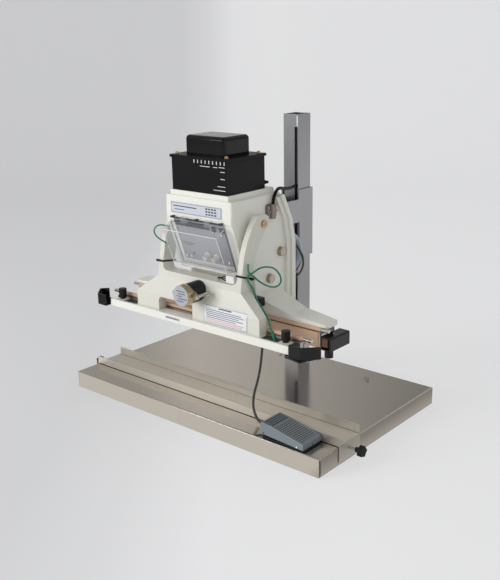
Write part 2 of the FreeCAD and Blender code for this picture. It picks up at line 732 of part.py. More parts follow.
def make_casting():
    """The cream casting: a hollow housing with a flared rear rim, and the two tapered arms of the rear jaw."""
    half = S.housing_half_width
    body = prism("housing_block", "YZ", casting_side(), -half, half)
    round_body(body, 6, lambda edge: not runs(edge, X_AXIS) and is_near(abs(middle(edge).x), half)
               and middle(edge).y < S.ledge_front.number and middle(edge).z > S.panel_top_z.number + 2
               and middle(edge).z < S.shoulder_height.number)
    step = []
    for index, sign in enumerate((-1, 1)):
        start = S.ledge_half_width if sign > 0 else -half - 1
        end = half + 1 if sign > 0 else -S.ledge_half_width
        step.append(box(f"ledge_step_{index}", (start, S.housing_front - 5, S.shoulder_height + 3),
                        (end, S.casting_rear, S.ledge_height + 5)))
    step.append(box("ledge_step_front", (-half - 1, S.housing_front - 5, S.shoulder_height + 3),
                    (half + 1, S.ledge_front, S.ledge_height + 5)))
    crest = S.shoulder_height - 1
    rim_line = [(S.ledge_rear + 8, crest), (S.casting_rear - 11, crest - 64), (S.casting_rear, 379),
                (S.casting_rear, S.casting_underside)]
    rim_inner = [(S.casting_rear - S.rim_thickness, S.casting_underside), (S.casting_rear - S.rim_thickness, 381),
                 (S.casting_rear - S.rim_thickness - 11, crest - 61), (S.ledge_rear - 5, crest)]
    rim = prism("rear_rim", "YZ", rim_line + rim_inner, -S.rim_half_width, S.rim_half_width)
    flare_inner = [(S.casting_rear - S.rim_thickness - S.rim_flare, S.casting_underside),
                   (S.casting_rear - S.rim_thickness - S.rim_flare, 383),
                   (S.casting_rear - S.rim_thickness - 11 - S.rim_flare, crest - 59),
                   (S.ledge_rear - 3 - S.rim_flare, crest - 5)]
    flare = prism("rim_flare", "YZ", [(S.ledge_rear + 8, crest - 5)] + rim_line[1:] + flare_inner,
                  -S.rim_half_width + 6, S.rim_half_width - 6)
    arms = []
    for index, sign in enumerate((-1, 1)):
        base = S.casting_underside
        front_view = prism(f"arm_front_view_{index}", "XZ", [
            (sign * (half - 4), base), (sign * S.arm_tip_x, base), (sign * S.arm_tip_x, base + S.arm_tip_height),
            (sign * S.arm_bend_x, base + S.arm_bend_height), (sign * S.arm_root_x, base + S.arm_root_height),
            (sign * (half - 4), base + S.arm_root_height + 13)], S.arm_front, S.arm_rear + 30)
        plan = prism(f"arm_plan_{index}", "XY", [
            (sign * (half - 5), S.arm_front), (sign * S.arm_tip_x, S.arm_front), (sign * S.arm_tip_x, S.arm_tip_rear),
            (sign * S.arm_bend_x, S.arm_rear), (sign * (half - 5), S.arm_rear + 26)], base - 1, base + 80)
        round_body(plan, 9, lambda edge: runs(edge, Z_AXIS) and is_near(abs(middle(edge).x), S.arm_tip_x))
        arms.append(common(f"arm_{index}", front_view, plan))
    bosses = []
    for index, sign in enumerate((-1, 1)):
        start = half - 2 if sign > 0 else -(S.yoke_arm_inner - S.moving_gap)
        bosses.append(rod(f"pivot_boss_{index}", (start, S.pivot_y, S.pivot_z), "x", S.pivot_boss_radius,
                          S.yoke_arm_inner - S.moving_gap - half + 2))
    inner_half = half - S.housing_wall
    hollow = inset(casting_side(), S.housing_wall)
    cavity = prism("housing_cavity", "YZ", hollow[:3] + [(S.casting_rear + 1, hollow[3][1]), (
        S.casting_rear + 1, hollow[4][1])] + hollow[5:], -inner_half, inner_half)
    shoulders = [box(f"shoulder_fill_{index}", (start, S.housing_front, S.shoulder_height + 3 - S.housing_wall),
                     (start + inner_half, S.casting_rear, S.ledge_height))
                 for index, start in enumerate((S.ledge_half_width - S.housing_wall,
                                                S.housing_wall - S.ledge_half_width - inner_half))]
    tools = [cut("shouldered_cavity", cavity, *shoulders), *step]
    tools.append(rod("plunger_port", (S.solenoid_x, S.throat_rear - 1, S.solenoid_z), "y", S.lug_half_width + 8,
                     S.housing_wall + 2))
    tools.append(box("transformer_port", (-S.core_half_width * 0.6, S.core_front + 22, S.ledge_height - S.housing_wall - 1),
                     (S.core_half_width * 0.6, S.core_rear - 22, S.ledge_height + 1)))
    tools.append(rod("rod_relief", (-S.rod_half_length, S.rear_rod_y, S.rear_rod_z), "x",
                     S.rod_radius + S.ptfe_thickness + S.running_gap, S.rod_half_length * 2))
    tools.append(rod("cord_port", (S.pedal_cord_x, S.pedal_cord_y, S.casting_underside - 1), "z",
                     S.pedal_cord_radius + 0.6, S.housing_wall + 2))
    for sign in (-1, 1):
        start = half - S.housing_wall - 1 if sign > 0 else -half - 1
        for where, y, z in (("upper", S.bolt_upper_y, S.bolt_upper_z), ("lower", S.bolt_lower_y, S.bolt_lower_z)):
            tools.append(rod(f"bolt_hole_{where}_{sign}", (start, y, z), "x", S.bolt_radius, S.housing_wall + 2))
        tools.append(rod(f"pivot_hole_{sign}", (half - S.housing_wall - 1 if sign > 0 else -S.yoke_arm_inner,
                         S.pivot_y, S.pivot_z), "x", S.pivot_screw_radius,
                         S.yoke_arm_inner - half + S.housing_wall + 1))
    tools.append(leaned_box("panel_port", (-S.panel_half_width + 4.5, -2, -S.panel_length + 4),
                            (S.panel_half_width - 4.5, S.housing_wall + 4, -S.panel_drop - 8)))
    seat = box("solenoid_seat", (S.solenoid_x - S.solenoid_half_width, S.solenoid_front, S.casting_underside + S.housing_wall - 1),
               (S.solenoid_x + S.solenoid_half_width, S.solenoid_rear, S.solenoid_z - S.solenoid_half_width))
    solid = fuse("casting_solid", body, rim, flare, *arms, *bosses)
    node("body_casting", fuse("casting_seated", cut("casting_hollowed", solid, *tools), seat))


def swung(y, z, angle):
    """A point of the yoke turned about its pivot by an angle in degrees; positive closes the jaw."""
    turn = math.radians(angle)
    across = y - S.pivot_y
    up = z - S.pivot_z
    return (S.pivot_y + across * math.cos(turn) - up * math.sin(turn),
            S.pivot_z + across * math.sin(turn) + up * math.cos(turn))


def front_face(offset):
    """The front jaw's sealing face in the open position, as its upper and lower end, less an offset."""
    closed = S.seal_plane - S.moving_gap - offset
    return (swung(closed, S.seal_high, -float(S.jaw_angle)), swung(closed, S.seal_low, -float(S.jaw_angle)))


def make_yoke():
    """The swinging casting: a foot and web, two curved arms, a window between them and a slotted lug behind."""
    outer, inner = S.yoke_arm_outer, S.yoke_arm_inner
    foot = S.yoke_foot_half_width
    top = S.pivot_z + 22
    front_view = prism("yoke_front_view", "XZ", [
        (-foot, S.yoke_foot_low), (foot, S.yoke_foot_low), (foot, S.yoke_shoulder_z), (outer, S.yoke_knee_z),
        (outer, top), (inner, top), (inner, S.yoke_window_z), (-inner, S.yoke_window_z), (-inner, top),
        (-outer, top), (-outer, S.yoke_knee_z), (-foot, S.yoke_shoulder_z)], 30, 200)
    round_body(front_view, S.yoke_window_radius, lambda edge: runs(edge, Y_AXIS)
               and is_near(middle(edge).z, S.yoke_window_z))
    knee_y, knee_z = S.yoke_knee_y, S.yoke_knee_z
    side_view = prism("yoke_side_view", "YZ", [
        (S.yoke_front, S.yoke_foot_low), (S.yoke_front, S.yoke_shoulder_z), (knee_y, knee_z),
        (knee_y + 6.2, knee_z + 38), (knee_y + 14.4, knee_z + 80), (knee_y + 26, knee_z + 111),
        (S.pivot_y - 40, S.pivot_z - 3), (S.pivot_y - 20, S.pivot_z + 20), (S.pivot_y - 6, top - 1),
        (S.pivot_y + 8, top - 1), (S.pivot_y + 19, S.pivot_z + 13), (S.pivot_y + 21, S.pivot_z),
        (S.pivot_y + 6, S.pivot_z - 16), (S.pivot_y - 12, S.pivot_z - 37), (S.yoke_knee_rear + 23, knee_z + 86),
        (S.yoke_knee_rear + 15, knee_z + 50), (S.yoke_knee_rear + 3, knee_z + 16), (S.yoke_knee_rear, knee_z),
        (S.yoke_foot_rear, S.yoke_shoulder_z), (S.yoke_foot_rear, S.yoke_foot_low)], -foot, foot)
    blank = common("yoke_blank", front_view, side_view)
    hollow_side = prism("yoke_hollow", "YZ", [
        (S.yoke_front + S.yoke_web, S.yoke_foot_low + S.yoke_web), (S.yoke_front + S.yoke_web, S.yoke_shoulder_z),
        (knee_y + S.yoke_web - 2, knee_z - 2), (knee_y + S.yoke_web, S.yoke_window_z - S.yoke_web),
        (S.yoke_knee_rear + 30, S.yoke_window_z - S.yoke_web), (S.yoke_knee_rear + 30, S.yoke_foot_low + S.yoke_web)],
        -inner + S.yoke_web, inner - S.yoke_web)
    notch = box("yoke_notch", (S.yoke_notch_left, S.yoke_front - 5, S.yoke_foot_low - 1),
                (S.yoke_notch_right, S.yoke_foot_rear + 5, S.yoke_foot_low + S.yoke_notch_height))
    notch_round = round_part("yoke_notch_round", notch, S.yoke_window_radius * 0.8, lambda edge: runs(edge, Y_AXIS)
                             and is_near(middle(edge).z, S.yoke_foot_low + S.yoke_notch_height)
                             and is_near(middle(edge).x, S.yoke_notch_left))
    pivots = [rod(f"yoke_pivot_hole_{sign}", (inner - 2 if sign > 0 else -outer - 2, S.pivot_y, S.pivot_z), "x",
                  S.pivot_screw_radius + S.running_gap, outer - inner + 4) for sign in (-1, 1)]
    shaft = rod("yoke_shaft_hole", (S.motor_x, 40, S.motor_z), "y", S.motor_shaft_radius + 1.5, 60)
    casting = cut("yoke_cast", blank, hollow_side, notch_round, *pivots, shaft)
    lug_y = S.pivot_y - (S.pivot_z - S.solenoid_z) * math.tan(math.atan2(
        float(S.pivot_y - S.plunger_start), float(S.pivot_z - S.solenoid_z)))
    lug = prism("yoke_lug_side", "YZ", [
        (S.yoke_front + 6, S.solenoid_z - 26), (lug_y + 15, S.solenoid_z - 26), (lug_y + 15, S.solenoid_z + 22),
        (S.yoke_front + 12, S.solenoid_z + 22)], S.solenoid_x - S.lug_half_width, S.solenoid_x + S.lug_half_width)
    lean = math.degrees(math.atan2(float(S.pivot_y - S.plunger_start), float(S.pivot_z - S.solenoid_z)))
    slot = doc.addObject("Part::Box", "yoke_lug_slot")
    bind(slot, "Length", S.lug_half_width * 2 + 2)
    bind(slot, "Width", S.lug_slot)
    bind(slot, "Height", 36)
    turn = math.radians(lean)
    low_y = lug_y - S.lug_slot / 2 * math.cos(turn) - 18 * math.sin(turn)
    low_z = S.solenoid_z - S.lug_slot / 2 * math.sin(-turn) - 18 * math.cos(turn)
    place(slot, (S.solenoid_x - S.lug_half_width - 1, low_y, low_z), FreeCAD.Rotation(X_AXIS, -lean))
    node("jaw_yoke", fuse("yoke_with_lug", casting, cut("yoke_lug", lug, slot)))


def make_pivots():
    """The two brass shoulder screws that the yoke's arms turn on."""
    screws = []
    for sign in (-1, 1):
        start = S.housing_half_width - S.housing_wall
        length = S.yoke_arm_outer + S.moving_gap - start
        x = start if sign > 0 else -(start + length)
        shank = rod(f"pivot_shank_{sign}", (x, S.pivot_y, S.pivot_z), "x", S.pivot_screw_radius, length)
        head_start = S.yoke_arm_outer + S.moving_gap
        hx = head_start if sign > 0 else -(head_start + S.pivot_head_length)
        head = rod(f"pivot_head_{sign}", (hx, S.pivot_y, S.pivot_z), "x", S.pivot_head_radius, S.pivot_head_length)
        slot_x = head_start + S.pivot_head_length - 1.5 if sign > 0 else -(head_start + S.pivot_head_length + 1)
        slot = box(f"pivot_slot_{sign}", (slot_x, S.pivot_y - S.pivot_head_radius, S.pivot_z - 0.9),
                   (slot_x + 2.5, S.pivot_y + S.pivot_head_radius, S.pivot_z + 0.9))
        screws.append(cut(f"pivot_screw_{sign}", fuse(f"pivot_body_{sign}", shank, head), slot))
    node("pivot_screws", together("pivot_screw_pair", *screws))


def make_front_jaw():
    """The beam under the yoke's foot, the bar behind it, and the covered rod and heater on its sealing face."""
    half = S.beam_half_length
    wall = S.beam_wall
    top = S.yoke_foot_low
    beam = prism("beam_channel", "YZ", [
        (S.beam_front, S.beam_low), (S.beam_front + 2, top), (S.beam_rear, top), (S.beam_rear, top - wall),
        (S.beam_front + wall + 2, top - wall), (S.beam_front + wall, S.beam_low + wall),
        (S.beam_rear, S.beam_low + wall), (S.beam_rear, S.beam_low)], -half, half)
    nut_holes = [rod(f"beam_nut_hole_{sign}", (S.thumb_nut_x * sign, S.thumb_nut_y, top - wall - 1), "z",
                     S.thumb_stud_radius + S.running_gap, wall + 2) for sign in (-1, 1)]
    trough = []
    for sign in (-1, 1):
        for low, high in ((S.yoke_foot_half_width + 3, S.thumb_nut_x - 13), (S.thumb_nut_x + 13, half + 1)):
            trough.append(box(f"beam_trough_{sign}_{len(trough)}", (low if sign > 0 else -high, S.beam_front + 8,
                              top - wall - 1), (high if sign > 0 else -low, S.beam_rear + 1, top + 1)))
    node("front_beam", cut("beam_drilled", beam, *nut_holes, *trough))
    (bar_top_y, bar_top_z), (bar_low_y, bar_low_z) = front_face(S.ptfe_thickness + S.heater_thickness)
    saddle = S.front_rod_z - S.rod_radius - S.ptfe_thickness
    bar = prism("front_bar", "YZ", [
        (S.beam_rear, S.beam_low), (bar_low_y, S.beam_low), (bar_low_y, bar_low_z), (bar_top_y, bar_top_z),
        (bar_top_y, saddle), (S.yoke_foot_rear + 0.5, saddle), (S.yoke_foot_rear + 0.5, S.yoke_foot_low),
        (S.beam_rear, S.yoke_foot_low)], -S.jaw_bar_half_length, S.jaw_bar_half_length)
    node("front_jaw_bar", bar)
    (out_top_y, out_top_z), (out_low_y, out_low_z) = front_face(0 * S.seal_low)
    (mid_top_y, mid_top_z), (mid_low_y, mid_low_z) = front_face(S.ptfe_thickness)
    length = S.rod_cover_half_length
    face = prism("front_ptfe_face", "YZ", [
        (mid_low_y, mid_low_z), (out_low_y, out_low_z), (out_top_y, out_top_z), (mid_top_y, mid_top_z)],
        -length, length)
    wrap = rod("front_ptfe_wrap", (-length, S.front_rod_y, S.front_rod_z), "x", S.rod_radius + S.ptfe_thickness,
               length * 2)
    bore = rod("front_ptfe_bore", (-length - 1, S.front_rod_y, S.front_rod_z), "x", S.rod_radius, length * 2 + 2)
    sheath = cut("front_ptfe_sheath", wrap, bore)
    node("front_ptfe_cover", together("front_ptfe", sheath, face))
    heater = prism("front_heater", "YZ", [
        (bar_low_y, bar_low_z), (mid_low_y, mid_low_z), (mid_top_y, mid_top_z), (bar_top_y, bar_top_z)],
        -length + 4, length - 4)
    node("front_heating_strip", heater)
    node("front_clamp_rod", rod("front_rod", (-S.rod_half_length, S.front_rod_y, S.front_rod_z), "x", S.rod_radius,
                                S.rod_half_length * 2))


def make_front_cap(label, sign):
    """A black moulded end cap with a chamfered nose, open above and behind where the wires come in."""
    start, nose = S.cap_start, S.cap_nose_x
    wall = S.cap_wall
    outline = [(sign * start, S.cap_front), (sign * S.cap_corner_x, S.cap_front), (sign * nose, S.cap_nose_y),
               (sign * nose, S.cap_nose_y + 4), (sign * (nose - 14), S.cap_rear), (sign * start, S.cap_rear)]
    shell = prism(label + "_block", "XY", outline, S.cap_low, S.cap_high)
    inner = [(sign * (start - 1), S.cap_front + wall), (sign * (S.cap_corner_x - wall / 2), S.cap_front + wall),
             (sign * (nose - wall), S.cap_nose_y + wall / 2), (sign * (nose - wall), S.cap_nose_y + 4),
             (sign * (nose - 14 - wall), S.cap_rear + 1), (sign * (start - 1), S.cap_rear + 1)]
    hollow = prism(label + "_hollow", "XY", inner, S.cap_low + wall, S.cap_high + 1)
    return cut(label + "_shell", shell, hollow)


def make_front_caps():
    """Both end caps of the front beam."""
    node("front_end_caps", together("front_caps", *[make_front_cap(f"front_cap_{side}", sign)
                                                    for side, sign in (("left", -1), ("right", 1))]))


def make_thumb_nut(label, sign):
    """A fluted thumb nut that tightens the front bar through the beam's top."""
    x = S.thumb_nut_x * sign
    y = S.thumb_nut_y
    base = S.yoke_foot_low + S.moving_gap
    collar = rod(label + "_collar", (x, y, base), "z", S.thumb_nut_radius * 0.7, 4)
    head = rod(label + "_head", (x, y, base + 4), "z", S.thumb_nut_radius, S.thumb_nut_height - 4)
    stud = rod(label + "_stud", (x, y, S.yoke_foot_low - S.beam_wall - 6), "z", S.thumb_stud_radius, 12)
    grooves = []
    count = 12
    for index in range(count):
        angle = math.radians(360 / count * index)
        grooves.append(rod(f"{label}_flute_{index}", (x + S.thumb_nut_radius * math.cos(angle),
                           y + S.thumb_nut_radius * math.sin(angle), base + 5), "z", 1.1, S.thumb_nut_height))
    node(label, fuse(label + "_solid", cut(label + "_fluted", head, *grooves), collar, stud))


def make_rear_jaw():
    """The fixed bar under the arms, its covered rod, heater and end cover with terminal block."""
    length = S.jaw_bar_half_length
    cover = S.rod_cover_half_length
    face = S.seal_plane + S.ptfe_thickness + S.heater_thickness
    ledge = S.rear_rod_z - S.rod_radius - S.ptfe_thickness
    wall = S.rear_bar_wall
    bar = prism("rear_bar", "YZ", [
        (face, S.rear_bar_low), (face, ledge), (S.rear_rod_y + 8, ledge), (S.rear_rod_y + 8, S.casting_underside),
        (S.rear_bar_rear, S.casting_underside), (S.rear_bar_rear, S.rear_bar_low),
        (S.rear_bar_rear - wall, S.rear_bar_low), (S.rear_bar_rear - wall, S.casting_underside - wall),
        (S.rear_rod_y + 8 + wall, S.casting_underside - wall), (S.rear_rod_y + 8 + wall, ledge - wall),
        (face + wall, ledge - wall), (face + wall, S.rear_bar_low)], -length, length)
    node("rear_jaw_bar", bar)
    wrap = rod("rear_ptfe_wrap", (-cover, S.rear_rod_y, S.rear_rod_z), "x", S.rod_radius + S.ptfe_thickness,
               cover * 2)
    bore = rod("rear_ptfe_bore", (-cover - 1, S.rear_rod_y, S.rear_rod_z), "x", S.rod_radius, cover * 2 + 2)
    sheet_face = box("rear_ptfe_face", (-cover + 5, S.seal_plane, S.rear_bar_low),
                     (cover - 5, S.seal_plane + S.ptfe_thickness, ledge - 1))
    node("rear_ptfe_cover", together("rear_ptfe", cut("rear_ptfe_sheath", wrap, bore), sheet_face))
    node("rear_heating_strip", box("rear_heater", (-cover + 8, S.seal_plane + S.ptfe_thickness, S.seal_low + 3),
                                   (cover - 8, face, S.seal_high)))
    node("rear_clamp_rod", rod("rear_rod", (-S.rod_half_length + 2, S.rear_rod_y, S.rear_rod_z), "x", S.rod_radius,
                               S.rod_half_length * 2 - 4))
    cwall = S.cover_wall
    block = box("cover_block", (S.cover_start, S.cover_front, S.cover_low), (S.cover_end, S.cover_rear, S.cover_high))
    rounded = round_part("cover_rounded", block, 4, lambda edge: runs(edge, Y_AXIS)
                         and is_near(middle(edge).z, S.cover_high) and is_near(middle(edge).x, S.cover_end))
    inside = box("cover_inside", (S.cover_start + cwall, S.cover_front - 1, S.cover_low + cwall),
                 (S.cover_end - cwall * 2, S.cover_rear - cwall, S.cover_high - cwall))
    hole = rod("cover_hole", ((S.cover_start + S.cover_end) / 2, S.cover_knob_y, S.cover_low - 1), "z",
               S.thumb_stud_radius + S.running_gap, cwall + 2)
    node("rear_end_cover", cut("cover_shell", rounded, inside, hole))
    terminal = box("terminal_slab", (S.cover_start + cwall, S.cover_front + 22, S.cover_low + cwall),
                   (S.cover_end - cwall * 3, S.cover_rear - cwall * 3, S.cover_high - cwall * 2))
    plate = box("terminal_front", (S.cover_start + cwall, S.cover_front + 1, S.cover_low + cwall + 5),
                (S.cover_end - cwall * 4, S.cover_front + 22, S.cover_high - cwall - 1))
    node("terminal_block", fuse("terminal_solid", terminal, plate))
    x = (S.cover_start + S.cover_end) / 2
    gap = S.moving_gap
    knob = rod("cover_knob_head", (x, S.cover_knob_y, S.cover_low - gap - S.cover_knob_length), "z",
               S.cover_knob_radius, S.cover_knob_length)
    stud = rod("cover_knob_stud", (x, S.cover_knob_y, S.cover_low - gap - 1), "z", S.thumb_stud_radius,
               cwall + gap + 3)
    node("cover_knob", fuse("cover_knob_solid", knob, stud))


def make_motor():
    """The timing gear motor on the yoke's web: can, gearbox, eared plate with screws, and its cam."""
    x, z = S.motor_x, S.motor_z
    plate_y = S.motor_front + S.motor_can_length
    box_y = plate_y + S.motor_plate
    web_y = S.yoke_front + (S.yoke_knee_y - S.yoke_front) * ((S.motor_z - S.yoke_shoulder_z) / float(
        S.yoke_knee_z - S.yoke_shoulder_z))
    before_web = [(box_y, S.yoke_foot_low), (S.yoke_front, S.yoke_foot_low), (S.yoke_front, S.yoke_shoulder_z),
                  (S.yoke_knee_y, S.yoke_knee_z), (S.yoke_knee_y + 6.2, S.yoke_knee_z + 38), (box_y, S.yoke_knee_z + 38)]
    can = rod("motor_can_body", (x, S.motor_front, z), "y", S.motor_radius, S.motor_can_length)
    can = round_part("motor_can_round", can, 2, lambda edge: is_near(edge.BoundBox.YMax, S.motor_front))
    node("motor_can", can)
    ears = []
    for sign in (-1, 1):
        ear = rod(f"motor_ear_{sign}", (x + S.motor_ear_spread * sign, plate_y, z), "y", S.motor_ear_radius,
                  S.motor_plate)
        ears.append(ear)
    web = prism("motor_ear_web", "XZ", [
        (x - S.motor_ear_spread, z - S.motor_ear_radius), (x, z - S.motor_radius), (x + S.motor_ear_spread,
        z - S.motor_ear_radius), (x + S.motor_ear_spread, z + S.motor_ear_radius), (x, z + S.motor_radius),
        (x - S.motor_ear_spread, z + S.motor_ear_radius)], plate_y, plate_y + S.motor_plate)
    holes = [rod(f"motor_ear_hole_{sign}", (x + S.motor_ear_spread * sign, plate_y - 1, z), "y", 2.5,
                 S.motor_plate + 2) for sign in (-1, 1)]
    node("motor_plate", cut("motor_plate_drilled", fuse("motor_plate_blank", web, *ears), *holes))
    sloped = prism("gearbox_slope", "YZ", before_web, x - 40, x + 40)
    drum = rod("gearbox_drum", (x, box_y, z), "y", S.gearbox_radius, 60)
    node("motor_gearbox", common("gearbox_solid", drum, sloped))
    screws = []
    for sign in (-1, 1):
        sx = x + S.motor_ear_spread * sign
        head = rod(f"motor_screw_head_{sign}", (sx, plate_y - 6, z), "y", 5.5, 6)
        shank = rod(f"motor_screw_shank_{sign}", (sx, plate_y, z), "y", 2.5, S.motor_plate)
        post = rod(f"motor_standoff_{sign}", (sx, box_y, z), "y", 4.0, 60)
        post = common(f"motor_standoff_cut_{sign}", post,
                      prism(f"standoff_slope_{sign}", "YZ", before_web, sx - 9, sx + 9))
        screws.append(fuse(f"motor_screw_{sign}", head, shank, post))
    node("motor_screws", together("motor_screw_pair", *screws))
    shaft = rod("cam_shaft", (x, web_y + 1.2, z), "y", S.motor_shaft_radius, 25.3)
    disc = rod("cam_disc", (x, web_y + S.yoke_web + 8, z - 4), "y", S.cam_radius, S.cam_length)
    node("motor_cam", fuse("cam_solid", shaft, disc))


def make_solenoid():
    """The solenoid in the casting and the plunger whose cross pin pulls the yoke's slotted lug."""
    half = S.solenoid_half_width
    x, z = S.solenoid_x, S.solenoid_z
    front, rear = S.solenoid_front, S.solenoid_rear
    frame = box("solenoid_block", (x - half, front, z - half), (x + half, rear, z + half))
    bore = rod("solenoid_bore", (x, front - 1, z), "y", S.plunger_radius + 0.4, rear - front - 4)
    window = box("solenoid_window", (x - half - 1, front + 8, z - half + 8), (x + half + 1, rear - 8, z + half - 8))
    coil = rod("solenoid_winding_block", (x, front + 8, z), "y", half - 8 - S.moving_gap, rear - front - 16)
    coil_bore = rod("solenoid_coil_bore", (x, front + 7, z), "y", S.plunger_radius + 0.4, rear - front - 14)
    node("solenoid_frame", cut("solenoid_yoke", frame, bore, window))
    node("solenoid_coil", cut("solenoid_winding", coil, coil_bore))
    lug = S.lug_half_width + 0.8
    bar = rod("plunger_bar", (x, S.plunger_start + 24, z), "y", S.plunger_radius,
              S.plunger_end - S.plunger_start - 24)
    cheeks = [box(f"plunger_cheek_{index}", (start, S.plunger_start - 7, z - 6),
                  (start + 4, S.plunger_start + 30, z + 6)) for index, start in enumerate((x + lug, x - lug - 4))]
    joiner = box("plunger_joiner", (x - lug - 4, S.plunger_start + 22, z - 6), (x + lug + 4, S.plunger_start + 30, z + 6))
    pin = rod("plunger_pin", (x - lug - 4, S.plunger_start, z), "x", S.link_pin_radius, lug * 2 + 8)
    node("solenoid_plunger", fuse("plunger_solid", bar, joiner, *cheeks, pin))


def make_limit_switch():
    """The small switch on the front of the right arm that the closed yoke reaches."""
    x, y, z = S.switch_x, S.switch_y, S.casting_underside + 22
    case = box("limit_case", (x, y, z), (x + 22, S.arm_front, z + 20))
    roller = rod("limit_plunger", (x + 11, y - 2.5, z + 10), "y", 3, 3.5)
    node("limit_switch", fuse("limit_solid", case, roller))


def make_transformer():
    """The sheet box on the housing, the bell cap over its opening, and the core and coil inside them."""
    half = S.box_half_width
    wall = S.box_wall
    low, top = S.ledge_height, S.box_top
    shell = box("box_shell", (-half, S.box_front, low), (half, S.box_rear, top))
    lip = box("box_lip", (-half - S.box_flange, S.box_front - S.box_flange, top - wall),
              (half + S.box_flange, S.box_rear + S.box_flange, top))
    inside = box("box_inside", (wall - half, S.box_front + wall, low - 1), (half - wall, S.box_rear - wall, top - wall))
    opening = box("box_opening", (-S.core_half_width - 2, S.core_front - 0.8, top - wall - 1),
                  (S.core_half_width + 2, S.core_rear + 0.8, top + 1))
    slots = []
    for index in range(9):
        x = -14 + 11.6 * index
        slots.append(box(f"box_vent_{index}", (x - 1.4, S.box_front - 1, top - 15),
                         (x + 1.4, S.box_front + wall + 1, top - 7)))
    for index, (start, end, drop) in enumerate(((4, 35, 20), (44, 58, 20), (62, 80, 19), (66, 80, 29), (66, 80, 45),
                                                (57, 81, 62), (44, 81, 71))):
        slots.append(box(f"box_louvre_{index}", (start, S.box_front - 1, top - drop - 1.6),
                         (end, S.box_front + wall + 1, top - drop)))
    hems = [rod(f"box_hem_{sign}", (sign * (half + 0.5), S.box_front - S.box_flange, top - 3.4), "y", 3.4,
                S.box_rear - S.box_front + S.box_flange * 2) for sign in (-1, 1)]
    screw_spots = [(sx * (half - 9), y) for sx in (-1, 1) for y in (S.box_front + 10, S.box_rear - 10)]
    holes = [rod(f"box_screw_hole_{index}", (x, y, top - wall - 1), "z", 2, wall + 2)
             for index, (x, y) in enumerate(screw_spots)]
    node("transformer_box", cut("box_pierced", fuse("box_lipped", shell, lip, *hems), inside, opening, *slots, *holes))
    screws = []
    for index, (x, y) in enumerate(screw_spots):
        washer = rod(f"box_washer_{index}", (x, y, top), "z", 5.5, 1.2)
        head = cone(f"box_screw_head_{index}", (x, y, top + 1.2), "z", 4.4, 3.2, 4)
        shank = rod(f"box_screw_shank_{index}", (x, y, top - 8), "z", 2, 9.2)
        screws.append(fuse(f"box_screw_{index}", washer, head, shank))
    node("transformer_screws", together("box_screws", *screws))
    block = box("bell_block", (-S.bell_half_width, S.bell_front, top),
                (S.bell_half_width, S.bell_rear, top + S.bell_height))
    rounded = round_part("bell_round", block, S.bell_radius, lambda edge: not is_near(middle(edge).z, top))
    hollow = box("bell_hollow", (3 - S.bell_half_width, S.bell_front + 3, top - 1),
                 (S.bell_half_width - 3, S.bell_rear - 3, top + S.bell_height - 6))
    node("transformer_cap", cut("bell_shell", rounded, hollow))
    core = S.core_half_width
    limb = core / 3
    core_low, core_top = low, top + 20
    stack = box("core_stack", (-core, S.core_front + 8, core_low), (core, S.core_rear - 8, core_top))
    windows = [box(f"core_window_{index}", (start, S.core_front, core_low + limb),
                   (start + limb, S.core_rear, core_top - limb)) for index, start in enumerate((-limb * 2, limb))]
    node("transformer_core", cut("core_laminated", stack, *windows))
    coil = box("coil_block", (0.5 - limb * 2, S.core_front, core_low + limb + 0.5),
               (limb * 2 - 0.5, S.core_rear, core_top - limb - 0.5))
    core_hole = box("coil_hole", (-limb, S.core_front + 8, core_low), (limb, S.core_rear - 8, core_top))
    node("transformer_coil", cut("coil_wound", coil, core_hole))


def on_panel(y, z):
    """The drawing-frame point of a place on the sloping panel: y into the casting, z up the slope."""
    lean = math.radians(panel_lean())
    return (S.panel_top_y + y * math.cos(lean) - z * math.sin(lean),
            S.panel_top_z + y * math.sin(lean) + z * math.cos(lean))


def panel_node(label, feature):
    """A node drawn in the panel's own frame, leaned with the panel."""
    return node(label, feature, (0, S.panel_top_y, S.panel_top_z), panel_lean())


